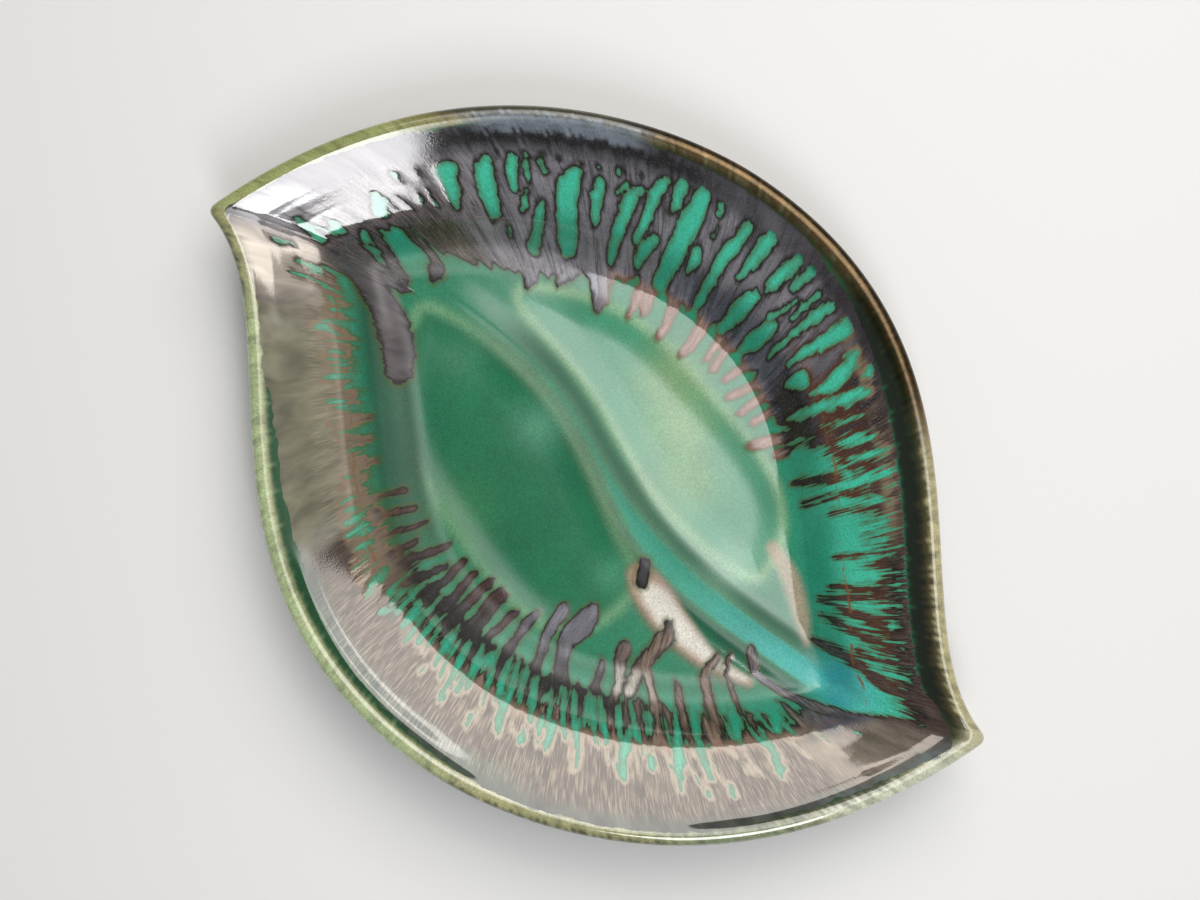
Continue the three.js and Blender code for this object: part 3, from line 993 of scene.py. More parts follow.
    runs: tuple[Stroke, ...] = (
        ((0.014, 20, 1.8), (0.0165, 28, 2.2), (0.0235, 35, 2.5), (0.0285, 43, 2.6), (0.0295, 50, 1.8)),
        ((0.029, 22, 1.2), (0.0305, 33, 1.2)),
        ((0.037, 20, 1.3), (0.042, 33, 1.7), (0.0455, 40, 1.6), (0.0485, 45, 1.0)),
        ((0.047, 20, 1.8), (0.053, 35, 1.8), (0.0575, 41, 1.2), (0.0585, 45, 0.8)),
        ((0.0613, 18, 0.9), (0.0613, 33, 1.2), (0.062, 41, 0.8)),
        ((0.0663, 20, 0.8), (0.067, 40, 0.7)),
        ((0.0835, 20, 0.7), (0.0835, 37, 0.5)),
        ((0.105, 18, 0.7), (0.109, 32, 0.6), (0.111, 37, 0.4)),
        ((0.1135, 18, 1.0), (0.1195, 34, 1.4), (0.1205, 47, 1.3)),
        ((0.128, 34, 1.4), (0.135, 50, 1.3)),
        ((0.150, 34, 2.0), (0.158, 54, 2.0)),
        ((0.165, 48, 2.5), (0.172, 62, 2.6)),
        ((0.185, 50, 2.0), (0.187, 59, 1.6)),
        ((0.197, 50, 2.2), (0.199, 62, 1.8)),
        ((0.206, 50, 1.8), (0.214, 64, 1.6)),
        ((0.220, 50, 1.8), (0.226, 61, 1.6)),
        ((0.240, 50, 2.2), (0.239, 62, 2.2)),
        ((0.246, 50, 1.5), (0.248, 62, 1.4)),
        ((0.262, 50, 3.2), (0.2645, 66, 2.6)),
        ((0.287, 50, 3.0), (0.288, 66, 2.5)),
        ((0.305, 48, 3.0), (0.307, 58, 3.6), (0.308, 62, 1.4)),
        ((0.311, 52, 2.4), (0.318, 65, 1.8)),
        ((0.347, 48, 4.5), (0.3435, 60, 5.6), (0.3425, 66, 3.0)),
        ((0.360, 54, 3.0), (0.377, 62, 1.6)),
        ((0.392, 52, 5.0), (0.399, 62, 3.4), (0.400, 65, 1.8)),
        ((0.425, 48, 3.0), (0.415, 57, 2.4)),
        ((0.4575, 26, 1.8), (0.458, 44, 2.0), (0.460, 55, 2.6), (0.468, 61, 2.8), (0.475, 63.5, 1.6)),
        ((0.466, 28, 1.6), (0.480, 45, 2.0), (0.490, 56, 2.6), (0.499, 65, 3.4), (0.503, 71, 2.6)),
        ((0.476, 28, 1.4), (0.490, 42, 1.8), (0.499, 56, 2.4)),
        ((0.5045, 15, 2.4), (0.504, 40, 2.8), (0.503, 60, 3.4), (0.505, 69, 3.4)),
        ((0.601, 33, 1.2), (0.6015, 42, 1.3)),
        ((0.613, 34, 1.0), (0.614, 41, 1.0)),
        ((0.626, 34, 1.1), (0.629, 43, 1.1)),
        ((0.647, 35, 1.3), (0.653, 51, 1.5)),
        ((0.659, 38, 1.5), (0.667, 53, 1.6)),
        ((0.672, 40, 1.2), (0.680, 56, 1.1)),
        ((0.682, 38, 1.4), (0.687, 49, 1.3)),
        ((0.690, 40, 1.8), (0.697, 50, 1.8), (0.704, 60, 1.9)),
        ((0.704, 42, 1.6), (0.715, 56, 1.5)),
        ((0.720, 44, 2.0), (0.722, 62, 2.2)),
        ((0.732, 46, 2.0), (0.7345, 63, 2.3)),
        ((0.740, 44, 2.0), (0.7475, 65, 2.8)),
        ((0.752, 46, 1.8), (0.7585, 66, 2.2)),
        ((0.758, 48, 1.8), (0.7635, 65, 2.8)),
        ((0.767, 50, 1.6), (0.778, 63, 2.0)),
        ((0.783, 50, 2.2), (0.792, 67, 2.8)),
        ((0.8045, 50, 2.0), (0.8075, 60, 3.0), (0.8085, 69, 3.6), (0.810, 73, 4.2)),
        ((0.8222, 50, 3.6), (0.8225, 60, 4.2), (0.824, 66, 5.4), (0.830, 72, 6.6), (0.834, 76, 5.4)),
        ((0.860, 49, 1.8), (0.8665, 60, 2.8), (0.868, 67, 4.4)),
        ((0.846, 50, 1.6), (0.853, 61, 1.8)),
        ((0.886, 48, 2.0), (0.888, 62, 2.4), (0.894, 75, 2.8)),
        ((0.897, 40, 2.2), (0.908, 58, 1.6)),
        ((0.914, 36, 2.0), (0.930, 60, 2.4), (0.943, 70, 1.6)),
        ((0.930, 38, 2.0), (0.947, 62, 2.2), (0.953, 70, 1.5)),
        ((0.964, 36, 2.0), (0.967, 48, 1.0)),
        ((0.9945, 26, 2.4), (0.9885, 33, 3.2), (0.9823, 41, 3.3), (0.9768, 50, 3.0),
         (0.9722, 60, 2.9), (0.9695, 72, 2.6)),
    )
    trails: tuple[Stroke, ...] = (
        ((-134, 14, 3.4), (-120, 14, 4.6), (-106, 9, 5.2), (-93, 0, 6.4), (-86, -9, 5.4)),
        ((58, -62, 2.2), (56, -50, 2.6), (59, -38, 2.2), (56, -32, 1.4)),
        ((35, -17.5, 1.7), (37, -21, 2.6), (38.5, -25, 1.8)),
    )

    def __post_init__(self) -> None:
        """Cuts the fine slits, from seeded draws."""
        draw = np.random.default_rng(SEED)
        self.waves = draw.uniform(0, 2 * np.pi, self.phases)
        cut = []
        for zone in self.slits:
            turn = zone.turns[0]
            while turn < zone.turns[1]:
                first, last = draw.uniform(*zone.tops), draw.uniform(*zone.ends)
                half = draw.uniform(*zone.halves)
                lean = draw.uniform(*self.slit_lean)
                middle = (first + last) / 2
                cut.append((
                    (turn, first, half * self.slit_ends[0]),
                    (turn + lean / 2, middle, half),
                    (turn + lean, last, half * self.slit_ends[1]),
                ))
                turn += zone.spacing * draw.uniform(*self.slit_gaps) / self.girth
        self.cuts = tuple(cut)

    def ripple(self, place: Array, wave: float, first: int) -> Array:
        """Makes a smooth wobble round the rim.

        Args:
            place: Places along the rim in millimetres.
            wave: Length of the longest wave.
            first: Which of the seeded phases comes first.

        Returns:
            Values between about -1 and 1.
        """
        total = np.zeros_like(place)
        for k in range(3):
            count = max(1, round(self.girth / wave * (1 + self.wave_growth * k)))
            total += np.sin(2 * np.pi * count * place / self.girth + self.waves[first + k])
        return total / self.wave_scale

    def waved(self, values: Array, turn: Array, waves: Stroke) -> Array:
        """Makes values uneven round the rim.

        Args:
            values: Value at each point.
            turn: Place of each point round the rim.
            waves: Height, length and first phase of each wobble.

        Returns:
            The uneven values.
        """
        for high, wave, first in waves:
            values = values + high * self.ripple(turn * self.girth, wave, first)
        return values

    def joined(self, flat: Array, strokes: tuple[Stroke, ...], blend: float) -> Array:
        """Joins strokes round the rim.

        Args:
            flat: Place round the rim and inset of each point.
            strokes: The strokes.
            blend: Size of the fillet between them.

        Returns:
            Depth of each point inside the strokes, below 0 outside.
        """
        depth = np.full(len(flat), self.outside)
        for stroke in strokes:
            rows = np.array(stroke, float)
            rows[:, 0] *= self.girth
            for shift in (-self.girth, 0, self.girth):
                moved = rows + [shift, 0, 0]
                low = moved[:, :2].min(axis=0) - self.stroke_reach
                high = moved[:, :2].max(axis=0) + self.stroke_reach
                near = np.all((flat > low) & (flat < high), axis=1)
                if near.any():
                    depth[near] = soft_union(depth[near], stroke_depth(flat[near], moved), blend)
        return depth

    def depth(self, turn: Array, inset: Array, plan: Array) -> Array:
        """Measures how deep points lie inside the dark glaze.

        Args:
            turn: Place of each point round the rim, from 0 to 1.
            inset: Inset of each point.
            plan: Plan position of each point.

        Returns:
            Depth in millimetres, below 0 where the green glaze shows.
        """
        flat = np.stack([turn * self.girth, inset], axis=1)
        between, beside = self.cut_blends
        depth = (self.waved(self.hem.at(turn), turn, self.hem_waves) - inset) * self.crispness.at(turn)
        depth = -soft_union(-depth, self.joined(flat, self.cuts, between), beside)
        depth = soft_union(depth, self.joined(flat, self.runs, self.run_blends[0]), self.run_blends[1])
        well = inset > self.trail_inset
        for trail in self.trails:
            trailed = stroke_depth(plan[well], np.array(trail, float))
            depth[well] = soft_union(depth[well], trailed, self.trail_blend)
        depth = -soft_union(-depth, self.joined(flat, self.islands, between) + self.island_growth, beside)
        return np.clip(np.minimum(depth, inset - self.top.at(turn)), -self.deepest, self.deepest)


@dataclass
class RingSkin:
    """Closed skin through rows of points, each row running once round the leaf."""

    name: str
    rows: Array

    def build(self, layers: Optional[dict[Layer, Array]] = None) -> Piece:
        """Models the skin from a grid whose ends are joined.

        Args:
            layers: Surface layers, with one row of values for each point of the grid.

        Returns:
            The new piece, at the origin.
        """
        count, columns = self.rows.shape[:2]
        bpy.ops.object.select_all(action="DESELECT")
        bpy.ops.mesh.primitive_grid_add(
            x_subdivisions=columns - 1, y_subdivisions=count - 1, size=1, calc_uvs=True)
        piece = bpy.context.object
        piece.name = self.name
        mesh = piece.data
        mesh.name = self.name
        mesh.vertices.foreach_set("co", (self.rows.reshape(-1, 3) * MM).ravel())
        for layer, values in (layers or {}).items():
            self.paint(mesh, layer, values)
        mesh.update()
        bpy.ops.object.mode_set(mode="EDIT")
        bpy.ops.mesh.select_all(action="SELECT")
        bpy.ops.mesh.remove_doubles(threshold=WELD)
        bpy.ops.mesh.normals_make_consistent(inside=False)
        bpy.ops.object.mode_set(mode="OBJECT")
        bpy.ops.object.shade_smooth()
        return piece

    @staticmethod
    def paint(mesh: bpy.types.Mesh, layer: Layer, values: Array) -> None:
        """Writes a layer on the mesh: a map, a colour or a number for each point.

        Args:
            mesh: Mesh to paint.
            layer: Layer to write.
            values: One row or number for each point.
        """
        if layer is Layer.FLOW:
            corners = np.zeros(len(mesh.loops), int)
            mesh.loops.foreach_get("vertex_index", corners)
            mesh.uv_layers[0].name = layer.value
            mesh.uv_layers[0].data.foreach_set("uv", values[corners].ravel())
        elif values.ndim == 2:
            colour = mesh.attributes.new(layer.value, "FLOAT_COLOR", "POINT")
            colour.data.foreach_set("color", np.c_[values, np.ones(len(values))].ravel())
        else:
            mesh.attributes.new(layer.value, "FLOAT", "POINT").data.foreach_set("value", values)


@dataclass
class Well:
    """Floor of the dish: its midrib, its two panels, and the skin's rows over it."""

    plan: LeafPlan
    section: DishSection
    rib: Midrib = field(default_factory=Midrib)
    spine_reach: float = 0.97
    spine_ease: float = 0.16
    relief_ease: float = 12.0
    edge_parts: int = 4

    def __post_init__(self) -> None:
        """Places the two panels beside the rib."""
        self.left = SunkPanel(
            self.rib, Side.LEFT, start=-92, end=37, width=61, far_fullness=0.5, near_fullness=0.5,
            rib_gap=4.5)
        self.right = SunkPanel(
            self.rib, Side.RIGHT, start=-64, end=75, width=42, far_fullness=0.9, near_fullness=0.4,
            rib_gap=10.0, depth=0.7)

    def relief(self, points: Array) -> Array:
        """Measures the rib and the panels over the plain floor.

        Args:
            points: Points in plan.

        Returns:
            Height of each point.
        """
        height = self.rib.relief(points[:, 0], points[:, 1])
        for panel in (self.left, self.right):
            height -= panel.sunk(points)
        return height

    def spine(self, edge: Array) -> Array:
        """Draws the line along the rib on which the skin's two sides meet.

        Args:
            edge: Outline of the floor.

        Returns:
            One point for each point of the outline, the same for both sides.
        """
        columns = len(edge) - 1
        turn = np.arange(columns + 1) / columns
        along = 1 - np.abs(1 - 2 * turn)
        tip = edge[0] * self.spine_reach
        x = tip[0] * (1 - 2 * along)
        chord = tip[1] * (1 - 2 * along)
        bend = smooth(0, self.spine_ease, along) * smooth(0, self.spine_ease, 1 - along)
        return np.stack([x, chord + (self.rib.line(x) - chord) * bend], axis=1)

    def surface(self, distance: float, step: float, floor_rows: int,
                columns: int) -> tuple[Array, Array, Array]:
        """Draws the upper face at a distance off the clay, from below the lip to the spine.

        Args:
            distance: Distance off the clay.
            step: Spacing of the rows on the side.
            floor_rows: Number of rows on the floor.
            columns: Number of steps round the leaf.

        Returns:
            Points, row by row, and the turns and insets of the points.
        """
        stations = self.section.upper(distance, step)
        rings = np.stack([self.plan.outline(inset, columns) for inset, _ in stations])
        shares = ((np.arange(floor_rows) + 1) / floor_rows)[:, None]
        spine = self.spine(rings[-1])
        floor = rings[-1] + (spine - rings[-1]) * shares[:, :, None]
        floor_turn, floor_inset = self.from_edge(floor, rings[-1])
        flat = np.concatenate([rings, floor])
        turn = np.concatenate([
            np.repeat(np.linspace(0, 1, columns + 1)[None], len(rings), axis=0), floor_turn])
        inset = np.concatenate([np.repeat(stations[:, :1], columns + 1, axis=1), floor_inset])
        height = np.concatenate([stations[:, 1], np.full(floor_rows, stations[-1, 1])])
        points = np.concatenate([flat, np.repeat(height[:, None, None], columns + 1, axis=1)], axis=2)
        start = self.section.side_end - self.relief_ease
        low = inset.ravel() > start
        relief = np.zeros(low.size)
        relief[low] = self.relief(flat.reshape(-1, 2)[low]) * smooth(
            start, self.section.side_end, inset.ravel()[low])
        points[..., 2] += relief.reshape(inset.shape)
        return points, turn, inset

    def from_edge(self, floor: Array, edge: Array) -> tuple[Array, Array]:
        """Measures the floor's points from the nearest point of its outline.

        Args:
            floor: Plan positions, row by row.
            edge: Outline of the floor.

        Returns:
            Turns and insets of the points.
        """
        marks = np.linspace(0, 1, self.edge_parts * (len(edge) - 1) + 1)
        line = even_points(edge, marks)
        turn, inset = np.zeros(floor.shape[:2]), np.zeros(floor.shape[:2])
        for k, row in enumerate(floor):
            gap = np.hypot(row[:, :1] - line[:, 0], row[:, 1:] - line[:, 1])
            nearest = gap.argmin(axis=1)
            turn[k] = marks[nearest]
            inset[k] = self.section.floor_inset + gap[np.arange(len(row)), nearest]
        return turn, inset


@dataclass(frozen=True)
class FaceColours:
    """Colours of the two glazes, by where they lie and how thick they are, with some painted reflections and
    painted shade.
    """

    lip: str = "#b5b486"
    gutter: str = "#1f5230"
    island: str = "#42c4a3"
    side: str = "#2ca283"
    floor: str = "#2a8763"
    left_panel: str = "#1b7650"
    # The right panel: the glaze's mint, made lighter by a painted reflection.
    right_panel_with_reflection: str = "#38936d"
    panel_edge: str = "#9cc394"
    # Dark green beside the rib: painted shade on its flanks.
    rib_flank_shade: str = "#0d5c3e"
    rib_crest: str = "#96b884"
    groove: str = "#1f967a"
    pool: str = "#58ccc8"
    gutter_start: Span = (4.4, 6.4)
    island_start: Span = (11.5, 14.5)
    side_start: Span = (34, 44)
    floor_start: Span = (46, 58)
    panel_line_start: Span = (50, 56)
    left_panel_soft: Span = (-2, 4)
    right_panel_soft: Span = (-2, 5)
    panel_line_off: float = 0.6
    left_line: Span = (0.4, 2.8)
    right_line: Span = (0.6, 2.4)
    flank_shade_band: tuple[float, float, float] = (0.95, 3.5, 4.6)
    crest_band: tuple[float, float, float] = (0.12, 0.4, 1.6)
    groove_soft: Span = (1.0, 0.6)
    groove_shares: Span = (0.3, 0.7)
    groove_reach: Span = (-20, 35)
    groove_pool: float = 0.6
    groove_pool_reach: Span = (40, 110)
    pool_place: Span = (124, -14)
    pool_stretch: float = 1.5
    pool_size: float = 9.0
    pool_start: Span = (20, 30)
    stroke_soft: Span = (-1.5, 2.5)
    strokes: tuple[tuple[str, float, Stroke], ...] = (
        ("#7a5443", 0.55,
         ((36, -22.5, 6.0), (44, -26.5, 8.4), (58, -32, 7.6), (78, -36, 4.6), (94, -34, 2.6))),
        ("#c7a68f", 0.8, ((36, -23, 4.5), (44, -26, 7.0), (58, -31, 6.5), (78, -35, 3.8), (94, -33, 2.0))),
        ("#ece8dc", 0.95, ((40, -25, 3.0), (48, -27, 5.5), (60, -31, 5.0), (78, -34, 2.6), (92, -33, 1.0))),
        ("#c7a68f", 0.7, ((73, 15, 3.0), (85, 9, 4.0), (96, 0, 3.6), (104, -8, 1.6))),
    )
    tone: str = "#4e4a50"
    edge: str = "#1d1512"
    lip_patches: tuple[Patch, ...] = (
        ("#c4bb90", Zone((-0.09, 0.135), (-4, 5))),
        ("#56340a", Zone((0.125, 0.315), (-4, 6))),
        ("#3a3010", Zone((-0.005, 0.20), (3.4, 8), 0.92, 0.012, 1.0)),
        ("#1c3a17", Zone((0.10, 0.19), (5, 8), 0.7, 0.02, 1.2)),
        ("#85793f", Zone((0.385, 0.415), (-4, 5), 0.9, 0.01, 1.0)),
        ("#2a2319", Zone((0.15, 0.40), (-4, 1.0), 0.85, 0.012, 0.8)),
        ("#1b191b", Zone((0.30, 0.395), (0.4, 3.0), 0.9, 0.012, 0.8)),
        ("#363f1e", Zone((0.50, 0.98), (-4, 0.5), 0.85, 0.012, 0.8)),
        ("#7b8590", Zone((0.312, 0.388), (2.8, 9.0), 1.0, 0.008, 0.7)),
        ("#a0a868", Zone((0.41, 0.50), (-4, 5))),
        ("#c2d6a2", Zone((0.54, 0.76), (-4, 4))),
        ("#e6ebd2", Zone((0.93, 0.995), (-4, 4.5))),
        ("#8c9a78", Zone((0.865, 0.922), (-4, 4.5))),
        ("#0f170c", Zone((0.005, 0.20), (6.5, 12), 0.95, 0.012, 1.2)),
        ("#16301a", Zone((0.86, 0.97), (4, 7), 0.8, 0.012, 1.0)),
    )
    tone_patches: tuple[Patch, ...] = (
        ("#46342d", Zone((-0.02, 0.155), (6, 38))),
        ("#2d282c", Zone((0.14, 0.23), (8, 32), 0.7)),
        ("#8b8990", Zone((0.185, 0.43), (15, 52), 0.95)),
        ("#5c5b61", Zone((0.23, 0.42), (6, 16), 0.9)),
        ("#121113", Zone((0.28, 0.42), (7.0, 13.0), 0.9, 0.015, 1.6)),
        ("#7b8590", Zone((0.312, 0.388), (2.8, 9.0), 1.0, 0.008, 0.7)),
        ("#85838a", Zone((0.31, 0.425), (37, 80), 0.95, 0.012)),
        ("#34405c", Zone((0.17, 0.29), (39, 50), 0.6)),
        ("#151214", Zone((0.11, 0.20), (39, 50), 0.85)),
        ("#7c4e34", Zone((0.105, 0.20), (32, 36), 0.5, 0.018, 1.5)),
        ("#a3887a", Zone((0.10, 0.335), (51.5, 80), 0.9, 0.012, 1.2)),
        ("#6f6668", Zone((0.42, 0.515), (5, 36), 0.8)),
        ("#564b41", Zone((0.515, 0.985), (3, 37), 0.95)),
        ("#7f7c66", Zone((0.541, 0.655), (3, 30), 1.0, 0.01, 4.0)),
        # The next two pale patches near the -X tip are painted reflections of a bright window on the band.
        ("#c3b9ac", Zone((0.503, 0.540), (4, 33), 0.92, 0.006, 3.0)),
        ("#b5b3b8", Zone((0.476, 0.502), (7, 25), 0.85, 0.005, 3.0)),
        ("#55665a", Zone((0.665, 0.80), (3, 14), 0.75)),
        ("#5d6660", Zone((0.78, 0.96), (3, 9), 0.7)),
        ("#4a4026", Zone((0.425, 0.455), (39, 58), 0.75, 0.01)),
        ("#8f8674", Zone((0.52, 0.69), (28, 40), 0.85)),
        ("#6a4a3c", Zone((0.515, 0.70), (41, 62), 0.9, 0.018, 2.0)),
        ("#241b1b", Zone((0.69, 0.875), (41, 52), 0.9, 0.018, 4.0)),
        # A paler tone on the bend: painted light against the shade that falls where the band turns away from
        # the lamps.
        ("#a88d7b", Zone((0.70, 0.97), (33, 41), 0.85, 0.018, 2.5)),
        ("#553730", Zone((0.69, 0.80), (54, 80), 0.9)),
        ("#85848d", Zone((0.785, 0.85), (58, 90), 0.95, 0.01, 4.0)),
        ("#8a705e", Zone((0.87, 0.975), (37, 80), 0.9)),
        ("#dcd5c8", Zone((0.856, 0.886), (50, 61), 0.85, 0.006, 3.0)),
        ("#5c5d6a", Zone((0.966, 1.0), (27, 90), 0.9, 0.012)),
        ("#625d60", Zone((0.48, 0.60), (38, 90), 0.9, 0.012)),
        ("#8b7f71", Zone((0.950, 0.996), (8, 30), 0.92, 0.006, 3.0)),
        ("#7f8986", Zone((0.935, 0.994), (4, 8), 0.8, 0.01, 1.5)),
    )
    ground_patches: tuple[Patch, ...] = (
        ("#6fb096", Zone((0.52, 0.69), (24, 38), 0.6)),
        ("#3b8266", Zone((0.505, 0.70), (35, 44), 0.8)),
        ("#2a5b42", Zone((0.505, 0.70), (42, 60), 0.9)),
        ("#2f4f2a", Zone((0.425, 0.455), (38, 56), 0.6)),
    )
    edge_patches: tuple[Patch, ...] = (
        ("#6b3d20", Zone((0.0, 0.20), (20, 38), 0.7)),
        ("#8c6656", Zone((0.12, 0.335), (52, 80), 0.9)),
        ("#a58c70", Zone((0.09, 0.19), (11, 19), 0.8, 0.015, 2.0)),
        ("#9a8069", Zone((0.52, 0.70), (20, 43), 0.9)),
        ("#b9ab96", Zone((0.72, 0.975), (6, 35), 0.88)),
    )
    swirls: tuple[Zone, ...] = (
        Zone((0.10, 0.51), (13, 80), 1.0),
        Zone((0.20, 0.43), (4, 16), 0.6),
        Zone((-0.03, 0.12), (12, 50), 0.5),
        Zone((0.69, 1.0), (38, 90), 0.7),
    )
    # Soft spots on the well: glaze clouds, and painted reflections (the three pale mint spots on the left
    # panel, the pale spot at the right panel's end).
    clouds_and_reflections: tuple[tuple[str, float, float, float, float], ...] = (
        ("#6fb693", -68, 10, 9, 0.25),
        ("#74bb9a", -28, 4, 10, 0.5),
        ("#5aa57f", 28, -28, 8, 0.5),
        ("#4f8a4f", -36, -41, 15, 0.35),
        ("#a5bf80", 3, 47, 13, 0.5),
        ("#a5bf80", 18, 34, 13, 0.5),
        ("#a5bf80", 31, 19, 12, 0.45),
        ("#4f9a78", 38, 35, 9, 0.5),
        ("#a9d4b8", 63, 0, 9, 0.4),
        ("#2fa5c0", 120, -11.5, 4.5, 0.6),
        ("#2fa5c0", 125, -20, 4, 0.5),
    )
    streaks: tuple[Zone, ...] = (
        Zone((0.68, 0.955), (9, 36), 0.5),
        Zone((0.505, 0.66), (20, 40), 0.35),
        Zone((0.40, 0.505), (16, 60), 0.3),
        Zone((0.0, 0.14), (10, 36), 0.2),
        Zone((0.86, 1.0), (37, 80), 0.5),
    )


@dataclass
class FaceGlaze:
    """Glazed upper face: the green coat over lip, side and well, with the dark glaze run over it."""

    well: Well
    poured: PouredGlaze
    colours: FaceColours = FaceColours()
    columns: int = 600
    step: float = 0.98
    floor_rows: int = 36
    under_rows: int = 8
    under_step: float = 2.8
    under_gap: float = 0.25
    run_relief: float = 0.05
    fill_insets: Span = (5.0, 24.0)
    gloss: Span = (0.06, 0.14)
    rib_dull: float = 0.6
    rib_dull_left: Span = (-9, -4)
    rib_dull_right: Span = (8, 13)
    run_edge: Span = (-1.5, 2.0)
    run_start: Span = (9, 15)
    well_start: Span = (44, 54)
    satin_start: Span = (52, 62)
    lip_end: Span = (4.5, 7)
    lean_inset: float = 20.0
    ragged_waves: Stroke = ((1.0, 4.0, 6), (0.7, 13, 3))
    dull_places: tuple[Zone, ...] = (
        Zone((0.37, 0.98), (45, 60), 0.5, 0.02, 4.0),
        Zone((0.53, 0.77), (45, 60), 0.75, 0.02, 4.0),
        Zone((0.10, 0.41), (-9, 5.5), 0.2, 0.02, 1.0),
        Zone((0.55, 0.652), (4.5, 32), 0.8, 0.012, 2.5),
    )
    lustre_places: tuple[Zone, ...] = (
        Zone((0.14, 0.312), (-9, 6.5), 0.75, 0.015, 1.2),
    )
    lean_zone: Zone = Zone((0.70, 0.99), (-9, 90), 0.25, 0.04)

    def build(self) -> Piece:
        """Models the face as one closed coat and paints its layers.

        Returns:
            The new piece.
        """
        coat = self.well.section.coat
        under, under_turn, under_inset = self.well.surface(
            self.under_gap, self.under_step, self.under_rows, self.columns)
        top, turn, top_inset = self.well.surface(coat, self.step, self.floor_rows, self.columns)
        flat = top[..., :2].reshape(-1, 2)
        depth = self.poured.depth(turn.ravel(), top_inset.ravel(), flat).reshape(turn.shape)
        top[..., 2] += self.run_relief * smooth(*self.run_edge, depth) * smooth(*self.run_start, top_inset)
        top[..., 2] += self.gutter_fill(top_inset[:, 0], top[:, 0, 2])[:, None] * self.poured.pooling.at(turn)
        top[:, -1] = top[:, 0]
        rows = np.concatenate([under[::-1], top])
        around = np.concatenate([under_turn[::-1], turn]).ravel()
        inset = np.concatenate([under_inset[::-1], top_inset]).ravel()
        deep = np.concatenate([np.full_like(under_inset, -self.poured.deepest), depth]).ravel()
        layers = self.paint(around, inset, deep, rows[..., :2].reshape(-1, 2))
        lean = self.lean_zone.share(around, inset) * (inset - self.lean_inset)
        layers[Layer.FLOW] = np.stack([around * self.poured.girth - lean, inset], axis=1) * MM
        return RingSkin("face_glaze_coat", rows).build(layers)

    def gutter_fill(self, insets: Array, heights: Array) -> Array:
        """Measures how much glaze fills the gutter to a straight slope.

        Args:
            insets: Inset of each row of the face, from the outside inwards.
            heights: Height of each row.

        Returns:
            Height to add to each row.
        """
        crown = int(heights.argmax())
        inner = np.arange(len(insets)) > crown
        ends = np.interp(self.fill_insets, insets[crown:], heights[crown:])
        slope = np.interp(insets, self.fill_insets, ends)
        between = inner & (insets > self.fill_insets[0]) & (insets < self.fill_insets[1])
        return np.where(between, np.clip(slope - heights, 0, None), 0.0)

    def paint(self, turn: Array, inset: Array, depth: Array,
              plan: Array) -> dict[Layer, Array]:
        """Works out the layers that the finish reads.

        Args:
            turn: Place round the rim.
            inset: Inset from the rim.
            depth: Depth inside the dark glaze.
            plan: Plan position.

        Returns:
            The layers, with one row for each point.
        """
        tint = self.colours
        tone = laid(plain(tint.tone, len(turn)), tint.tone_patches, turn, self.ragged(turn, inset))
        edge = laid(plain(tint.edge, len(turn)), tint.edge_patches, turn, inset)
        streak, swirl, dull, lustre = [
            np.max([zone.share(turn, inset) for zone in zones], axis=0)
            for zones in (tint.streaks, tint.swirls, self.dull_places, self.lustre_places)]
        rib = self.well.rib
        away = rib.away(*plan.T)
        in_well = smooth(*self.well_start, inset)
        on_rib = rib.strength(plan[:, 0]) * smooth(*self.rib_dull_left, away) * (
            1 - smooth(*self.rib_dull_right, away)) * in_well
        shiny, satin = self.gloss
        return {
            Layer.RUN: depth,
            Layer.GROUND: self.ground(turn, inset, plan),
            Layer.TONE: tone,
            Layer.EDGE: edge,
            Layer.SATIN: shiny + (satin - shiny) * smooth(*self.satin_start, inset) + dull
            + self.rib_dull * on_rib,
            Layer.THIN: 1 - smooth(*self.lip_end, inset),
            Layer.INSET: inset,
            Layer.STREAK: streak,
            Layer.SWIRL: swirl,
            Layer.LUSTRE: lustre,
            Layer.FRAY: self.poured.fray.at(turn) * smooth(*self.run_start, inset) * (1 - in_well),
        }

    def ragged(self, turn: Array, inset: Array) -> Array:
        """Returns uneven insets, so that colours on the lip end in ragged lines."""
        return self.poured.waved(inset, turn, self.ragged_waves)

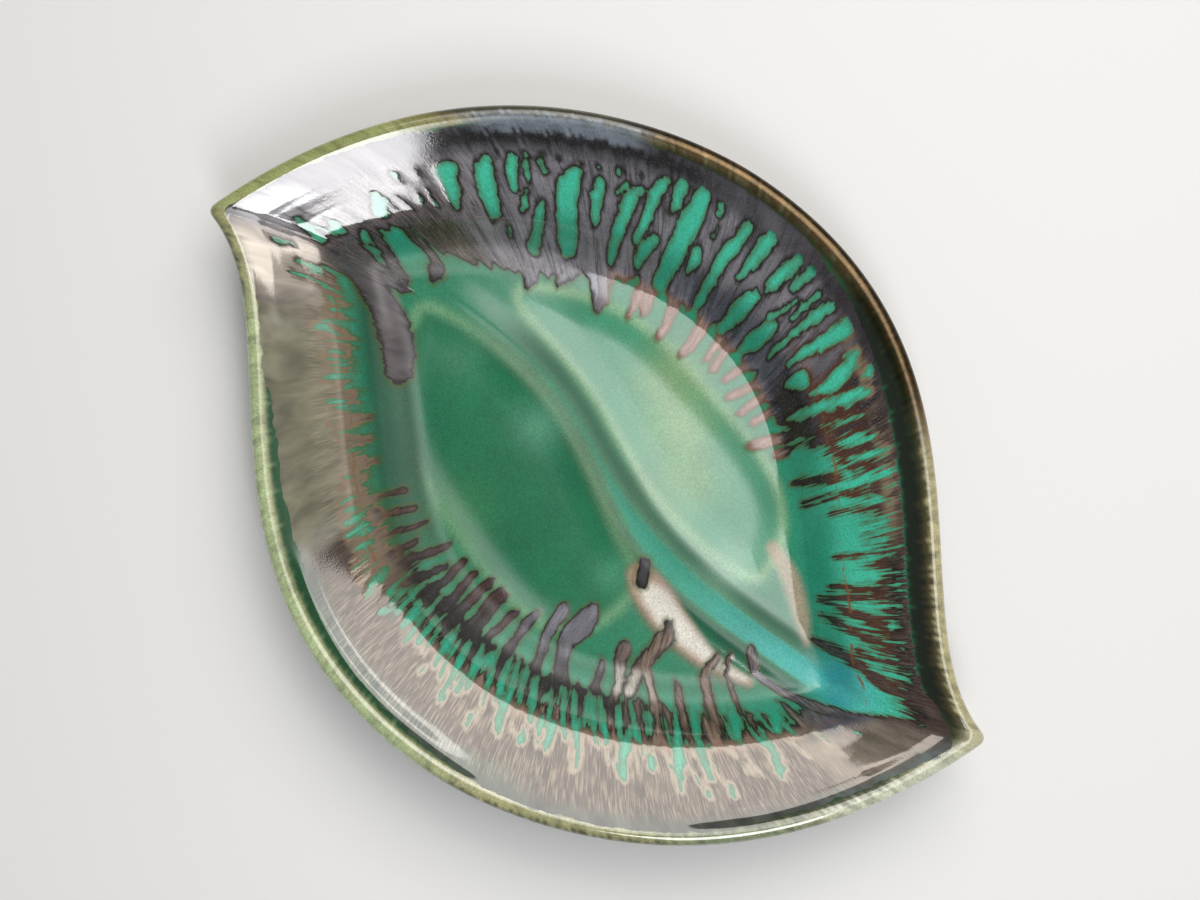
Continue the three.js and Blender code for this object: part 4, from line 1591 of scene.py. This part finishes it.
    def ground(self, turn: Array, inset: Array, plan: Array) -> Array:
        """Works out the colours of the green glaze, with its painted reflections and painted shade.

        Args:
            turn: Place round the rim.
            inset: Inset from the rim.
            plan: Plan position.

        Returns:
            Linear colours, one row for each point.
        """
        tint = self.colours
        x, y = plan.T
        rib = self.well.rib
        away, half = np.abs(rib.away(x, y)), rib.groove_half(x)
        strength = rib.strength(x) * smooth(*self.well_start, inset)
        left, right = self.well.left.inside(plan), self.well.right.inside(plan)
        ground = mixed(plain(tint.lip, len(turn)), tint.gutter, smooth(*tint.gutter_start, inset))
        ground = laid(ground, tint.lip_patches, turn, self.ragged(turn, inset))
        inner, outer = tint.groove_soft
        groove = strength * (1 - smooth(half - inner, half + outer, away))
        few, more = tint.groove_shares
        flank, flank_off, flank_wide = tint.flank_shade_band
        crest, crest_off, crest_wide = tint.crest_band
        pool = np.hypot((x - tint.pool_place[0]) / tint.pool_stretch, y - tint.pool_place[1])
        lines = [
            share * bump(inside + tint.panel_line_off, wide) * smooth(*tint.panel_line_start, inset)
            for inside, (share, wide) in ((left, tint.left_line), (right, tint.right_line))]
        for code, share in (
            (tint.island, smooth(*tint.island_start, inset)),
            (tint.side, smooth(*tint.side_start, inset)),
            (tint.floor, smooth(*tint.floor_start, inset)),
            (tint.left_panel, smooth(*tint.left_panel_soft, left)),
            # Right panel colour, partly a painted reflection.
            (tint.right_panel_with_reflection, smooth(*tint.right_panel_soft, right)),
            # Painted shade along the rib's flanks.
            (tint.rib_flank_shade, flank * strength * bump(away - half - flank_off, flank_wide)),
            (tint.groove, groove * (few + more * smooth(*tint.groove_reach, x))),
            (tint.pool, tint.groove_pool * groove * smooth(*tint.groove_pool_reach, x)),
            (tint.pool, bump(pool, tint.pool_size) * smooth(*tint.pool_start, inset)),
            (tint.rib_crest, crest * strength * bump(away - half - crest_off, crest_wide)),
            (tint.panel_edge, lines[0]),
            (tint.panel_edge, lines[1]),
        ):
            ground = mixed(ground, code, share)
        ground = laid(ground, tint.ground_patches, turn, inset)
        # Soft spots: glaze clouds, and painted reflections on the panels.
        for code, middle_x, middle_y, reach, share in tint.clouds_and_reflections:
            ground = mixed(ground, code, share * bump(np.hypot(x - middle_x, y - middle_y), reach))
        for code, share, stroke in tint.strokes:
            within = smooth(*tint.stroke_soft, stroke_depth(plan, np.array(stroke, float)))
            ground = mixed(ground, code, share * within)
        return ground

    def dress(self, piece: Piece) -> None:
        """Gives the face its finish."""
        piece.data.materials.clear()
        piece.data.materials.append(RunGlazeFinish().material())


@dataclass(frozen=True)
class RunGlazeFinish:
    """Poured drip glaze, fired glossy: an iron-dark glaze that ran over a copper-green one.

    The eye sees a wet gloss, islands of turquoise between grey runs with brown and black edges,
    fine streaks where the glaze slid, and a satin grain of small crystals in the well.
    """

    name: str = "drip_glazed_earthenware"
    halo_olive: str = "#4f5a26"
    streak_cream: str = "#c2b19a"
    speck_dark: str = "#1d1b1e"
    speck_pale: str = "#9b9aa0"
    crease_rust: str = "#8a5a32"
    lip_dark: str = "#2c3414"
    ior: float = 1.9
    streak_size: Span = (0.55, 7.0)
    swirl_size: Span = (1.8, 22.0)
    wobble_size: Span = (5.0, 6.0)
    fray_size: Span = (1.1, 16.0)
    pool_size: Span = (7.0, 16.0)
    lip_size: Span = (3.2, 9.0)
    grain_size: float = 0.7
    cloud_size: float = 22.0
    wobble: float = 0.75
    fraying: float = 9.0
    crease_inset: float = 35.0
    crease_wander: float = 1.5
    crease_line: Span = (0.2, 0.7)
    crease_breaks: Span = (0.42, 0.6)
    cover_edge: Span = (-0.1, 0.1)
    lip_end: Span = (12.0, 15.0)
    grain_shades: Span = (0.8, 1.24)
    cloud_shades: Span = (0.88, 1.12)
    pool_shades: Span = (0.62, 1.3)
    lip_lines: Span = (0.45, 0.68)
    lip_line_share: float = 0.4
    halo: Span = (-2.3, -0.1)
    halo_share: float = 0.8
    outer_edge: Span = (-0.5, -0.05)
    inner_edge: Span = (0.1, 1.5)
    edge_share: float = 0.95
    streak_lines: Span = (0.47, 0.66)
    swirl_lines: Span = (0.34, 0.5)
    swirl_share: float = 0.6
    dark_specks: Span = (0.56, 0.72)
    dark_speck_share: float = 0.55
    pale_specks: Span = (0.46, 0.3)
    pale_speck_share: float = 0.25
    iron_lustre: float = 0.15
    step_edge: Span = (-0.5, 0.9)
    step_relief: Span = (0.15, 0.06)
    grain_relief: Span = (0.1, 0.1)
    noise_roughness: float = 0.55

    def material(self) -> Material:
        """Builds the material.

        Returns:
            The new material.
        """
        made, tree = new_tree(self.name)
        layer = self.layers(tree)
        noise = self.noises(tree)

        # How deep a point lies in the dark glaze, with an uneven edge.
        wobble = ranged(tree, noise["wobble"], NOISE_SPAN, (-self.wobble, self.wobble))
        frayed = ranged(tree, noise["fray"], WHOLE_SPAN, (-self.fraying / 2, self.fraying / 2))
        frayed = summed(tree, Sum.TIMES, frayed, layer[Layer.FRAY])
        depth = summed(tree, Sum.PLUS, layer[Layer.RUN], wobble)
        depth = summed(tree, Sum.PLUS, depth, frayed)
        covered = ranged(tree, depth, self.cover_edge, soft=True)
        off_lip = ranged(tree, layer[Layer.INSET], self.lip_end, soft=True)

        # The green glaze: grain, clouds, darker lines over the lip, an olive halo at the runs.
        grain = ranged(tree, noise["grain"], NOISE_SPAN, self.grain_shades)
        cloud = ranged(tree, noise["cloud"], NOISE_SPAN, self.cloud_shades)
        green = shaded(tree, layer[Layer.GROUND], summed(tree, Sum.TIMES, grain, cloud))
        for over, value, source, target, mask in (
            (self.lip_dark, noise["lip"], self.lip_lines, (0.0, self.lip_line_share), layer[Layer.THIN]),
            (self.halo_olive, depth, self.halo, (0.0, self.halo_share), off_lip),
            (layer[Layer.EDGE], depth, self.outer_edge, (0.0, self.edge_share), off_lip),
        ):
            share = summed(tree, Sum.TIMES, ranged(tree, value, source, target), mask)
            green = overlaid(tree, share, green, over)

        # The dark glaze: pools, pale streaks, swirls, specks, and a nearly black edge.
        dark = shaded(tree, layer[Layer.TONE], ranged(tree, noise["pool"], NOISE_SPAN, self.pool_shades))
        swirl = layer[Layer.SWIRL]
        for over, value, source, target, mask in (
            (self.streak_cream, noise["streak"], self.streak_lines, WHOLE_SPAN, layer[Layer.STREAK]),
            (layer[Layer.EDGE], noise["swirl"], self.swirl_lines, (self.swirl_share, 0.0), swirl),
            (self.speck_dark, noise["grain"], self.dark_specks, (0.0, self.dark_speck_share), swirl),
            (self.speck_pale, noise["grain"], self.pale_specks, (0.0, self.pale_speck_share), swirl),
            (layer[Layer.EDGE], depth, self.inner_edge, (self.edge_share, 0.0), off_lip),
        ):
            share = summed(tree, Sum.TIMES, ranged(tree, value, source, target), mask)
            dark = overlaid(tree, share, dark, over)
        colour = overlaid(tree, covered, green, dark)

        # A broken rust line where the rim bends into the side.
        wander = (-self.crease_wander - self.crease_inset, self.crease_wander - self.crease_inset)
        bent = ranged(tree, noise["cloud"], NOISE_SPAN, wander)
        bent = summed(tree, Sum.SIZE, summed(tree, Sum.PLUS, layer[Layer.INSET], bent))
        rust = ranged(tree, bent, self.crease_line, (1.0, 0.0))
        rust = summed(tree, Sum.TIMES, rust, ranged(tree, noise["pool"], self.crease_breaks))
        rust = summed(tree, Sum.TIMES, rust, layer[Layer.FRAY])
        colour = overlaid(tree, rust, colour, self.crease_rust)

        # Surface: iron lustre on the dark glaze, and a slight step at its edge.
        lustre = summed(tree, Sum.TIMES, covered, self.iron_lustre)
        lustre = summed(tree, Sum.PLUS, lustre, layer[Layer.LUSTRE])
        normal = raised(tree, ranged(tree, depth, self.step_edge, soft=True), self.step_relief)
        normal = raised(tree, noise["grain"], self.grain_relief, normal)
        surface = add_node(tree, Kind.SURFACE, inputs={
            "Base Color": colour, "Metallic": lustre, "Roughness": layer[Layer.SATIN], "IOR": self.ior,
            "Normal": normal})
        add_node(tree, Kind.OUTPUT, inputs={"Surface": surface})
        return made

    def layers(self, tree: Tree) -> dict[Layer, Socket]:
        """Reads the painted layers of the piece.

        Args:
            tree: Node tree of the material.

        Returns:
            The output of each layer.
        """
        found = {}
        for key in Layer:
            if key is not Layer.FLOW:
                coloured = key in (Layer.GROUND, Layer.TONE, Layer.EDGE)
                found[key] = add_node(tree, Kind.LAYER, {"attribute_name": key.value},
                                      out="Color" if coloured else "Fac")
        return found

    def noises(self, tree: Tree) -> dict[str, Socket]:
        """Adds the noises, at their real sizes along and across the flow.

        Args:
            tree: Node tree of the material.

        Returns:
            The output of each noise.
        """
        flow = add_node(tree, Kind.MAP, {"uv_map": Layer.FLOW.value})
        place = add_node(tree, Kind.PLACE, out="Object")
        found = {}
        for key, source, size, detail, twist in (
            ("streak", flow, (*self.streak_size, 1), 3, 0.3),
            ("swirl", flow, (*self.swirl_size, 1), 2, 1.2),
            ("wobble", flow, (*self.wobble_size, 1), 2, 0.4),
            ("fray", flow, (*self.fray_size, 1), 2, 0.0),
            ("pool", flow, (*self.pool_size, 1), 2, 0.5),
            ("lip", flow, (*self.lip_size, 1), 2, 0.5),
            ("grain", place, (self.grain_size,) * 3, 2, 0.0),
            ("cloud", place, (self.cloud_size,) * 3, 3, 0.0),
        ):
            scale = tuple(1 / (part * MM) for part in size)
            fitted = add_node(tree, Kind.FIT, inputs={"Vector": source, "Scale": scale})
            found[key] = add_node(tree, Kind.NOISE, inputs={
                "Vector": fitted, "Scale": 1.0, "Detail": detail, "Roughness": self.noise_roughness,
                "Distortion": twist})
        return found


@dataclass(frozen=True)
class PlainGlazeFinish:
    """Copper-green glaze on the outside, dipped and fired glossy.

    The eye sees a dark olive green that breaks lighter in clouds and soft runs.
    """

    name: str = "olive_dipped_glaze"
    base: str = "#34502c"
    pale: str = "#6f7f45"
    dark: str = "#1c2d1a"
    cloud_size: float = 18.0
    grain_size: float = 0.8
    pale_clouds: Span = (0.5, 0.75)
    pale_share: float = 0.7
    dark_clouds: Span = (0.48, 0.3)
    dark_share: float = 0.8
    relief: Span = (0.15, 0.1)
    roughness: float = 0.1
    ior: float = 1.55

    def material(self) -> Material:
        """Builds the material.

        Returns:
            The new material.
        """
        made, tree = new_tree(self.name)
        place = add_node(tree, Kind.PLACE, out="Object")
        cloud = even_noise(tree, place, self.cloud_size, detail=4)
        grain = even_noise(tree, place, self.grain_size, detail=2)
        light = ranged(tree, cloud, self.pale_clouds, (0.0, self.pale_share))
        deep = ranged(tree, cloud, self.dark_clouds, (0.0, self.dark_share))
        colour = overlaid(tree, light, self.base, self.pale)
        colour = overlaid(tree, deep, colour, self.dark)
        surface = add_node(tree, Kind.SURFACE, inputs={
            "Base Color": colour, "Roughness": self.roughness, "IOR": self.ior,
            "Normal": raised(tree, grain, self.relief)})
        add_node(tree, Kind.OUTPUT, inputs={"Surface": surface})
        return made


@dataclass(frozen=True)
class FiredClayFinish:
    """Bare fired earthenware, wiped clean of glaze and ground flat at the foot.

    The eye sees a dry buff clay with fine grit and faint darker clouds.
    """

    name: str = "buff_fired_earthenware"
    base: str = "#d3bd9c"
    dark: str = "#a98d68"
    grit_size: float = 0.6
    cloud_size: float = 14.0
    dark_clouds: Span = (0.15, 0.38)
    dark_share: float = 0.8
    relief: Span = (0.4, 0.15)
    roughness: float = 0.85

    def material(self) -> Material:
        """Builds the material.

        Returns:
            The new material.
        """
        made, tree = new_tree(self.name)
        place = add_node(tree, Kind.PLACE, out="Object")
        grit = even_noise(tree, place, self.grit_size, detail=3)
        cloud = even_noise(tree, place, self.cloud_size, detail=3)
        both = summed(tree, Sum.TIMES, grit, cloud)
        share = ranged(tree, both, self.dark_clouds, (0.0, self.dark_share))
        surface = add_node(tree, Kind.SURFACE, inputs={
            "Base Color": overlaid(tree, share, self.base, self.dark), "Roughness": self.roughness,
            "Normal": raised(tree, grit, self.relief)})
        add_node(tree, Kind.OUTPUT, inputs={"Surface": surface})
        return made


@dataclass
class Underside:
    """Outside of the dish: the dipped coat, the coat within the foot, and the clay between."""

    well: Well
    columns: int = 320
    clearance: float = 0.3
    base_thickness: float = 0.6
    clay_step: float = 2.5
    clay_floor_rows: int = 24
    base_edge: tuple[Span, ...] = ((3.0, 0.0), (0.8, 0.0), (0.2, 0.15), (0.0, 0.4))

    def rows(self, stations: Array) -> Array:
        """Turns rows of inset and height into rows of points.

        Args:
            stations: Inset and height of each row.

        Returns:
            Points of each row round the dish.
        """
        rings = []
        for inset, height in stations:
            ring = self.well.plan.outline(inset, self.columns)
            rings.append(np.c_[ring, np.full(len(ring), height)])
        return np.array(rings)

    def folded(self, edge: Array) -> Array:
        """Returns one row that closes a flat end, folded together on the middle line."""
        return np.c_[self.well.spine(edge[:, :2]), edge[:, 2]][None]

    def back_coat(self) -> Piece:
        """Models the dipped coat on the outside, as a closed ring.

        Returns:
            The new piece.
        """
        section = self.well.section
        outside = section.lower(section.coat)
        inside = section.lower(self.clearance)[::-1]
        return RingSkin("back_glaze_coat", self.rows(np.concatenate([outside, inside, outside[:1]]))).build()

    def base_coat(self) -> Piece:
        """Models the coat on the underside, within the foot.

        Returns:
            The new piece.
        """
        top = self.well.section.foot_height - self.clearance
        inset = self.well.section.foot_inner + self.clearance
        low = top - self.base_thickness
        edge = [(inset + inwards, low + up) for inwards, up in self.base_edge]
        rows = self.rows(np.array([*edge, (inset, top)]))
        rows = np.concatenate([self.folded(rows[0]), rows, self.folded(rows[-1])])
        return RingSkin("base_glaze_coat", rows).build()

    def clay(self) -> Piece:
        """Models the clay body with its foot, under all the coats.

        Returns:
            The new piece.
        """
        size = self.well.section
        outside = size.lower(0)
        foot = size.rounded([
            (size.foot_inner + size.foot_margin, size.foot_height, 0),
            (size.foot_inner, size.foot_height, size.foot_rounds[0]),
            (size.foot_inner - size.foot_taper, 0, size.foot_rounds[1]),
            (size.foot_edge + size.foot_taper, 0, size.foot_rounds[1]),
            (size.foot_edge, size.foot_top, size.foot_rounds[0]),
            (outside[0, 0], outside[0, 1], 0),
        ])
        below = self.rows(np.concatenate([foot, outside[1:]]))
        above, _, _ = self.well.surface(0.0, self.clay_step, self.clay_floor_rows, self.columns)
        return RingSkin("clay_body_fired", np.concatenate([self.folded(below[0]), below, above])).build()


@dataclass
class Studio:
    """Pale floor, soft lamps and the camera over the platter."""

    turned: float = 34.09
    tilted: Span = (2.321, 0.709)
    eye: tuple[float, float, float] = (19.35, -9.71, 708.74)
    sensor_width: float = 36.0
    lens: float = 54.0
    floor_width: float = 6000.0
    floor_colour: str = "#fbfaf9"
    floor_roughness: float = 0.6
    room_colour: str = "#ffffff"
    room_glow: float = 0.14

    def build(self) -> None:
        """Sets the whole stage."""
        self.floor()
        self.world()
        self.lamps()
        self.camera()

    def floor(self) -> None:
        """Lays the pale floor."""
        bpy.ops.object.select_all(action="DESELECT")
        bpy.ops.mesh.primitive_plane_add(size=self.floor_width * MM)
        floor = bpy.context.object
        floor.name = "studio_floor"
        made = bpy.data.materials.new("pale_studio_floor")
        made.use_nodes = True
        shader = made.node_tree.nodes["Principled BSDF"]
        shader.inputs["Base Color"].default_value = linear(self.floor_colour)
        shader.inputs["Roughness"].default_value = self.floor_roughness
        floor.data.materials.append(made)

    def world(self) -> None:
        """Fills the room with an even grey."""
        room = bpy.data.worlds.new("studio_room")
        room.use_nodes = True
        back = room.node_tree.nodes["Background"]
        back.inputs["Color"].default_value = linear(self.room_colour)
        back.inputs["Strength"].default_value = self.room_glow
        bpy.context.scene.world = room

    def lamp(self, name: str, bearing: float, rise: float, reach: float, size: tuple[float, float],
             glow: float, code: str) -> None:
        """Hangs a softbox that faces the platter.

        Args:
            name: Name of the lamp.
            bearing: Direction in the picture, in degrees from its right edge.
            rise: Height angle in degrees.
            reach: Distance in metres.
            size: Width and height in metres.
            glow: Brightness of its face.
            code: Colour of its light.
        """
        light = bpy.data.lights.new(name, "AREA")
        light.shape = "RECTANGLE"
        light.size, light.size_y = size
        light.energy = glow * math.pi * size[0] * size[1]
        light.color = linear(code)[:3]
        turn, lift = math.radians(bearing + self.turned), math.radians(rise)
        level = math.cos(lift)
        place = Vector((math.cos(turn) * level, math.sin(turn) * level, math.sin(lift))) * reach
        lamp = bpy.data.objects.new(name, light)
        lamp.location = place
        lamp.rotation_euler = (-place).to_track_quat("-Z", "Y").to_euler()
        bpy.context.scene.collection.objects.link(lamp)

    def lamps(self) -> None:
        """Hangs the softboxes: a wide window, a narrow one, and one overhead."""
        self.lamp("wide_window", bearing=68, rise=55, reach=1.2, size=(1.0, 0.66), glow=3.0,
                  code="#fffaf5")
        self.lamp("narrow_window", bearing=-76, rise=59, reach=1.2, size=(0.3, 0.52), glow=8.0,
                  code="#fbfdff")
        self.lamp("overhead_panel", bearing=30, rise=76, reach=1.3, size=(0.9, 0.56), glow=2.6,
                  code="#ffffff")

    def camera(self) -> None:
        """Places the camera over the platter, as the photograph's."""
        lens = bpy.data.cameras.new("camera")
        lens.sensor_fit = "HORIZONTAL"
        lens.sensor_width = self.sensor_width
        lens.lens = self.lens
        camera = bpy.data.objects.new("camera", lens)
        camera.location = Vector(self.eye) * MM
        camera.rotation_euler = tuple(math.radians(a) for a in (*self.tilted, self.turned))
        bpy.context.scene.collection.objects.link(camera)
        bpy.context.scene.camera = camera


def report(piece: Piece, slot: str, nodes: tuple[str, ...]) -> None:
    """Fixes a piece to the part and logs it.

    Args:
        piece: The finished piece.
        slot: Name of a material slot; not used.
        nodes: Nodes of the part that it stands for.
    """
    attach(piece, BODY)
    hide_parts(*nodes)
    log.info("%s: %d faces, stands for %s", piece.name, len(piece.data.polygons), ", ".join(nodes))


def main() -> None:
    """Builds every piece, dresses it and sets the stage."""
    logging.basicConfig(level=logging.INFO, format="%(name)s: %(message)s")
    bpy.context.scene.view_settings.view_transform = "Standard"
    well = Well(LeafPlan(), DishSection())
    face = FaceGlaze(well, PouredGlaze())
    coat = face.build()
    face.dress(coat)
    report(coat, "green_glaze", ("face_glaze", "run_glaze"))
    under = Underside(well)
    back_finish = PlainGlazeFinish().material()
    for piece, slot, node, finish in (
        (under.back_coat(), "back_glaze", "back_glaze", back_finish),
        (under.base_coat(), "back_glaze", "base_glaze", back_finish),
        (under.clay(), "buff_clay", "clay_body", FiredClayFinish().material()),
    ):
        piece.data.materials.clear()
        piece.data.materials.append(finish)
        report(piece, slot, (node,))
    Studio().build()


if __name__ == "__main__":
    main()
